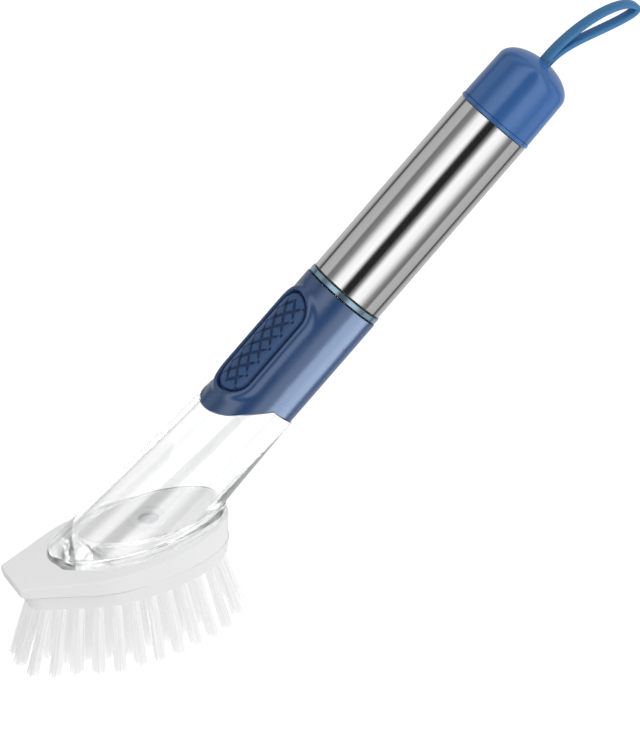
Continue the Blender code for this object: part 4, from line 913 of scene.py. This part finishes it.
# How far the room is brightened where it is seen through clear plastic, and how much the paper gains there
THROUGH_LIFT_SHARE = 0.7
THROUGH_PAPER_GAIN = 0.3
PAPER_GLOW = 0.9
PAPER_SIZE = 8
PAPER_DROP = 0.1 * MM
SIDE_LIGHT_ANGLE = 84 * DEGREE
SIDE_LIGHT_SPREAD = 60 * DEGREE
SIDE_LIGHT_STRENGTH = 3.2
DECK_LIGHT_SPREAD = 60 * DEGREE
DECK_LIGHT_STRENGTH = 0.8
CAMERA_LEAN = 5.6 * DEGREE
CAMERA_HEIGHT = 42 * DEGREE
CAMERA_ROLL = 49.04 * DEGREE
CAMERA_DISTANCE = 2000 * MM
CAMERA_AIM = (69.1 * MM, 63.1 * MM)
# The aim is counted from where the axis meets the foot's widest oval, not the deck
CAMERA_FROM_X = FOOT_WIDEST_Z / math.sin(HEAD_ANGLE)
IMAGE_HEIGHT = 729
FOCAL_PIXELS = 5152
SENSOR = 36.0


def seen_through(tree):
    """One for light that has passed through clear plastic, else zero."""
    depth = add(tree, "ShaderNodeLightPath").outputs["Transmission Depth"]
    return add(tree, "ShaderNodeMath", {0: depth, 1: 0.5}, operation="GREATER_THAN").outputs["Value"]


def make_room():
    """The studio round the brush, as a band of brightness that is the same all along the handle."""
    world = bpy.data.worlds.new("studio_room")
    bpy.context.scene.world = world
    world.use_nodes = True
    tree = world.node_tree
    tree.nodes.clear()
    direction = add(tree, "ShaderNodeTexCoord").outputs["Generated"]
    turn = CAMERA_HEIGHT - math.pi / 2 - ROOM_TURN
    turned_round = add(tree, "ShaderNodeVectorRotate", {"Vector": direction, "Angle": turn},
                       rotation_type="X_AXIS")
    parts = add(tree, "ShaderNodeSeparateXYZ", {"Vector": turned_round.outputs["Vector"]})
    angle = add(tree, "ShaderNodeMath", {0: parts.outputs["Y"], 1: parts.outputs["Z"]}, operation="ARCTAN2")
    share = add(tree, "ShaderNodeMapRange", {"Value": angle.outputs["Value"], "From Min": math.pi,
                                             "From Max": -math.pi})
    brightest = max(value for _, value in ROOM)
    ramp = add(tree, "ShaderNodeValToRGB", {"Fac": share.outputs["Result"]})
    for i, (degrees, value) in enumerate(ROOM):
        place = degrees / 360 + 0.5
        if 0 < i < len(ROOM) - 1:
            stop = ramp.color_ramp.elements.new(place)
        else:
            stop = ramp.color_ramp.elements[0 if i == 0 else -1]
        stop.color = (*[value / brightest] * 3, 1)
    pale = add(tree, "ShaderNodeMix", {"Factor": THROUGH_LIFT_SHARE, "A": ramp.outputs["Color"],
                                       "B": srgb("E6E6E6")}, data_type="RGBA")
    seen = add(tree, "ShaderNodeMix", {"Factor": seen_through(tree), "A": ramp.outputs["Color"],
                                       "B": pale.outputs["Result"]}, data_type="RGBA")
    room = add(tree, "ShaderNodeBackground", {"Color": seen.outputs["Result"], "Strength": brightest})
    output = add(tree, "ShaderNodeOutputWorld")
    tree.links.new(room.outputs["Background"], output.inputs["Surface"])


def make_floor():
    """A plain white floor that no reflection shows."""
    bpy.ops.object.select_all(action="DESELECT")
    bpy.ops.mesh.primitive_plane_add(size=PAPER_SIZE, location=(0, 0, -PAPER_DROP))
    floor = bpy.context.object
    floor.name = "studio_floor"
    made, tree, shader = new_material("white_paper_floor")
    shader.inputs["Base Color"].default_value = srgb("A0A0A0")
    shader.inputs["Roughness"].default_value = 0.9
    shader.inputs["Emission Color"].default_value = srgb("FFFFFF")
    glow = add(tree, "ShaderNodeMath", {0: seen_through(tree), 1: THROUGH_PAPER_GAIN, 2: PAPER_GLOW},
               operation="MULTIPLY_ADD")
    tree.links.new(glow.outputs["Value"], shader.inputs["Emission Strength"])
    floor.data.materials.append(made)
    floor.visible_glossy = False


def make_soft_light(name, direction, strength, spread, colour, matt, *pieces):
    """A broad soft light that only the named pieces catch; without matt, in their gloss alone."""
    data = bpy.data.lights.new(name, "SUN")
    data.energy, data.angle, data.color = strength, spread, srgb(colour)[:3]
    light = bpy.data.objects.new(name, data)
    bpy.context.scene.collection.objects.link(light)
    caught = bpy.data.collections.new(f"{name}_catchers")
    for piece in pieces:
        caught.objects.link(bpy.data.objects[piece])
    light.light_linking.receiver_collection = caught
    light.visible_diffuse = matt
    light.matrix_world = direction.to_track_quat("Z", "Y").to_matrix().to_4x4()


def make_soft_lights():
    """A low light for the broad sheen along the grip's underside, and one that brings up the head's deck."""
    angle = CAMERA_HEIGHT - SIDE_LIGHT_ANGLE
    make_soft_light("side_light", Vector((0, -math.cos(angle), math.sin(angle))), SIDE_LIGHT_STRENGTH,
                    SIDE_LIGHT_SPREAD, "E8F2FF", False, "grip_skin", "pad_skin")
    make_soft_light("deck_light", DECK.to_3x3() @ Vector((0, 0, 1)), DECK_LIGHT_STRENGTH, DECK_LIGHT_SPREAD,
                    "FFFFFF", True, "head_top")


def make_camera():
    """The camera of the photograph: far off, above the brush and to its side, and rolled."""
    back = Vector((math.sin(CAMERA_LEAN), -math.cos(CAMERA_LEAN) * math.cos(CAMERA_HEIGHT),
                   math.cos(CAMERA_LEAN) * math.sin(CAMERA_HEIGHT)))
    along = (Vector((1, 0, 0)) - back * back.x).normalized()
    over = back.cross(along)
    right = along * math.cos(CAMERA_ROLL) - over * math.sin(CAMERA_ROLL)
    up = along * math.sin(CAMERA_ROLL) + over * math.cos(CAMERA_ROLL)
    data = bpy.data.cameras.new("photo_camera")
    data.sensor_width = SENSOR
    data.lens = FOCAL_PIXELS * SENSOR / IMAGE_HEIGHT
    data.clip_start, data.clip_end = CAMERA_DISTANCE / 20, CAMERA_DISTANCE * 20
    camera = bpy.data.objects.new("photo_camera", data)
    bpy.context.scene.collection.objects.link(camera)
    aim = START @ Vector((CAMERA_FROM_X, 0, 0)) + right * CAMERA_AIM[0] + up * CAMERA_AIM[1]
    place = aim + back * CAMERA_DISTANCE
    turn = Matrix((right, up, back)).transposed().to_4x4()
    camera.matrix_world = Matrix.Translation(place) @ turn
    bpy.context.scene.camera = camera


bpy.context.scene.view_settings.view_transform = "Standard"
bpy.context.scene.view_settings.look = "None"
make_camera()
make_room()
make_floor()

# Glossy polypropylene, injection moulded: a clean shine over an even blue
cap_blue = moulded("glossy_blue_polypropylene", "4171B4", "3C6AAB", roughness=0.18, mottle_mm=14,
                   grain_mm=0.4, grain_depth_mm=0.01, IOR=1.9, Specular_Tint=srgb("C8E2FF"))
# Silicone, moulded: a soft sheen and a slightly greener blue
strap_blue = moulded("blue_moulded_silicone", "4689C1", "417FB4", roughness=0.42, mottle_mm=9, grain_mm=0.5,
                     grain_depth_mm=0.02)
# ABS with a satin finish: broad highlights and no mirror shine
grip_blue = moulded("satin_blue_abs", "2B4F82", "27487A", roughness=0.27, mottle_mm=16, grain_mm=0.25,
                    grain_depth_mm=0.012, IOR=2.0, Specular_Tint=srgb("E4EEF6"))
# Silicone, moulded, for the part under the thumb
pad_blue = pad_silicone()
membrane_blue = moulded("smooth_blue_silicone", "365C90", "305587", roughness=0.42, mottle_mm=8,
                        grain_mm=0.3, grain_depth_mm=0.015)
# White polypropylene, moulded: faintly warm, with a soft shine
head_white = moulded("white_polypropylene", "F5F5F5", "F1F1F1", roughness=0.38, mottle_mm=20, grain_mm=0.5,
                     grain_depth_mm=0.01)
# Nylon, drawn into strands: white, with a faint painted glow that stands in for the light thin strands let
# through
nylon = moulded("white_nylon_strands", "F8F8F8", "F0F0F0", roughness=0.4, mottle_mm=3, grain_mm=0.3,
                grain_depth_mm=0.005, Emission_Color=srgb("FFFFFF"), Emission_Strength=0.14)
# Polypropylene with no colour, moulded: milky
milky = moulded("natural_polypropylene", "E2E6E8", "DADFE2", roughness=0.35, mottle_mm=12, grain_mm=0.5,
                grain_depth_mm=0.01, Transmission_Weight=0.5)
seal = moulded("natural_silicone", "DCE0E2", "D2D7DA", roughness=0.5, mottle_mm=6, grain_mm=0.4,
               grain_depth_mm=0.01)
steel = polished_steel()
clear = clear_styrene()
ring_blue = ring_acrylic()

make_cap(cap_blue)
make_strap(strap_blue)
make_sleeve(steel)
make_trim_ring(ring_blue)
make_grip(grip_blue)
make_pad(pad_blue)
make_neck(clear)
make_head_top(head_white)
make_head_band(head_white)
make_bristles(nylon)
make_soft_lights()
finish_nodes(membrane_blue, "pad_membrane")
finish_nodes(head_white, "valve_plate")
finish_nodes(milky, "reservoir_tube")
finish_nodes(head_white, "cap_liner", "valve_retainer")
finish_nodes(seal, "cap_seal", "reservoir_o_ring", "slit_valve")
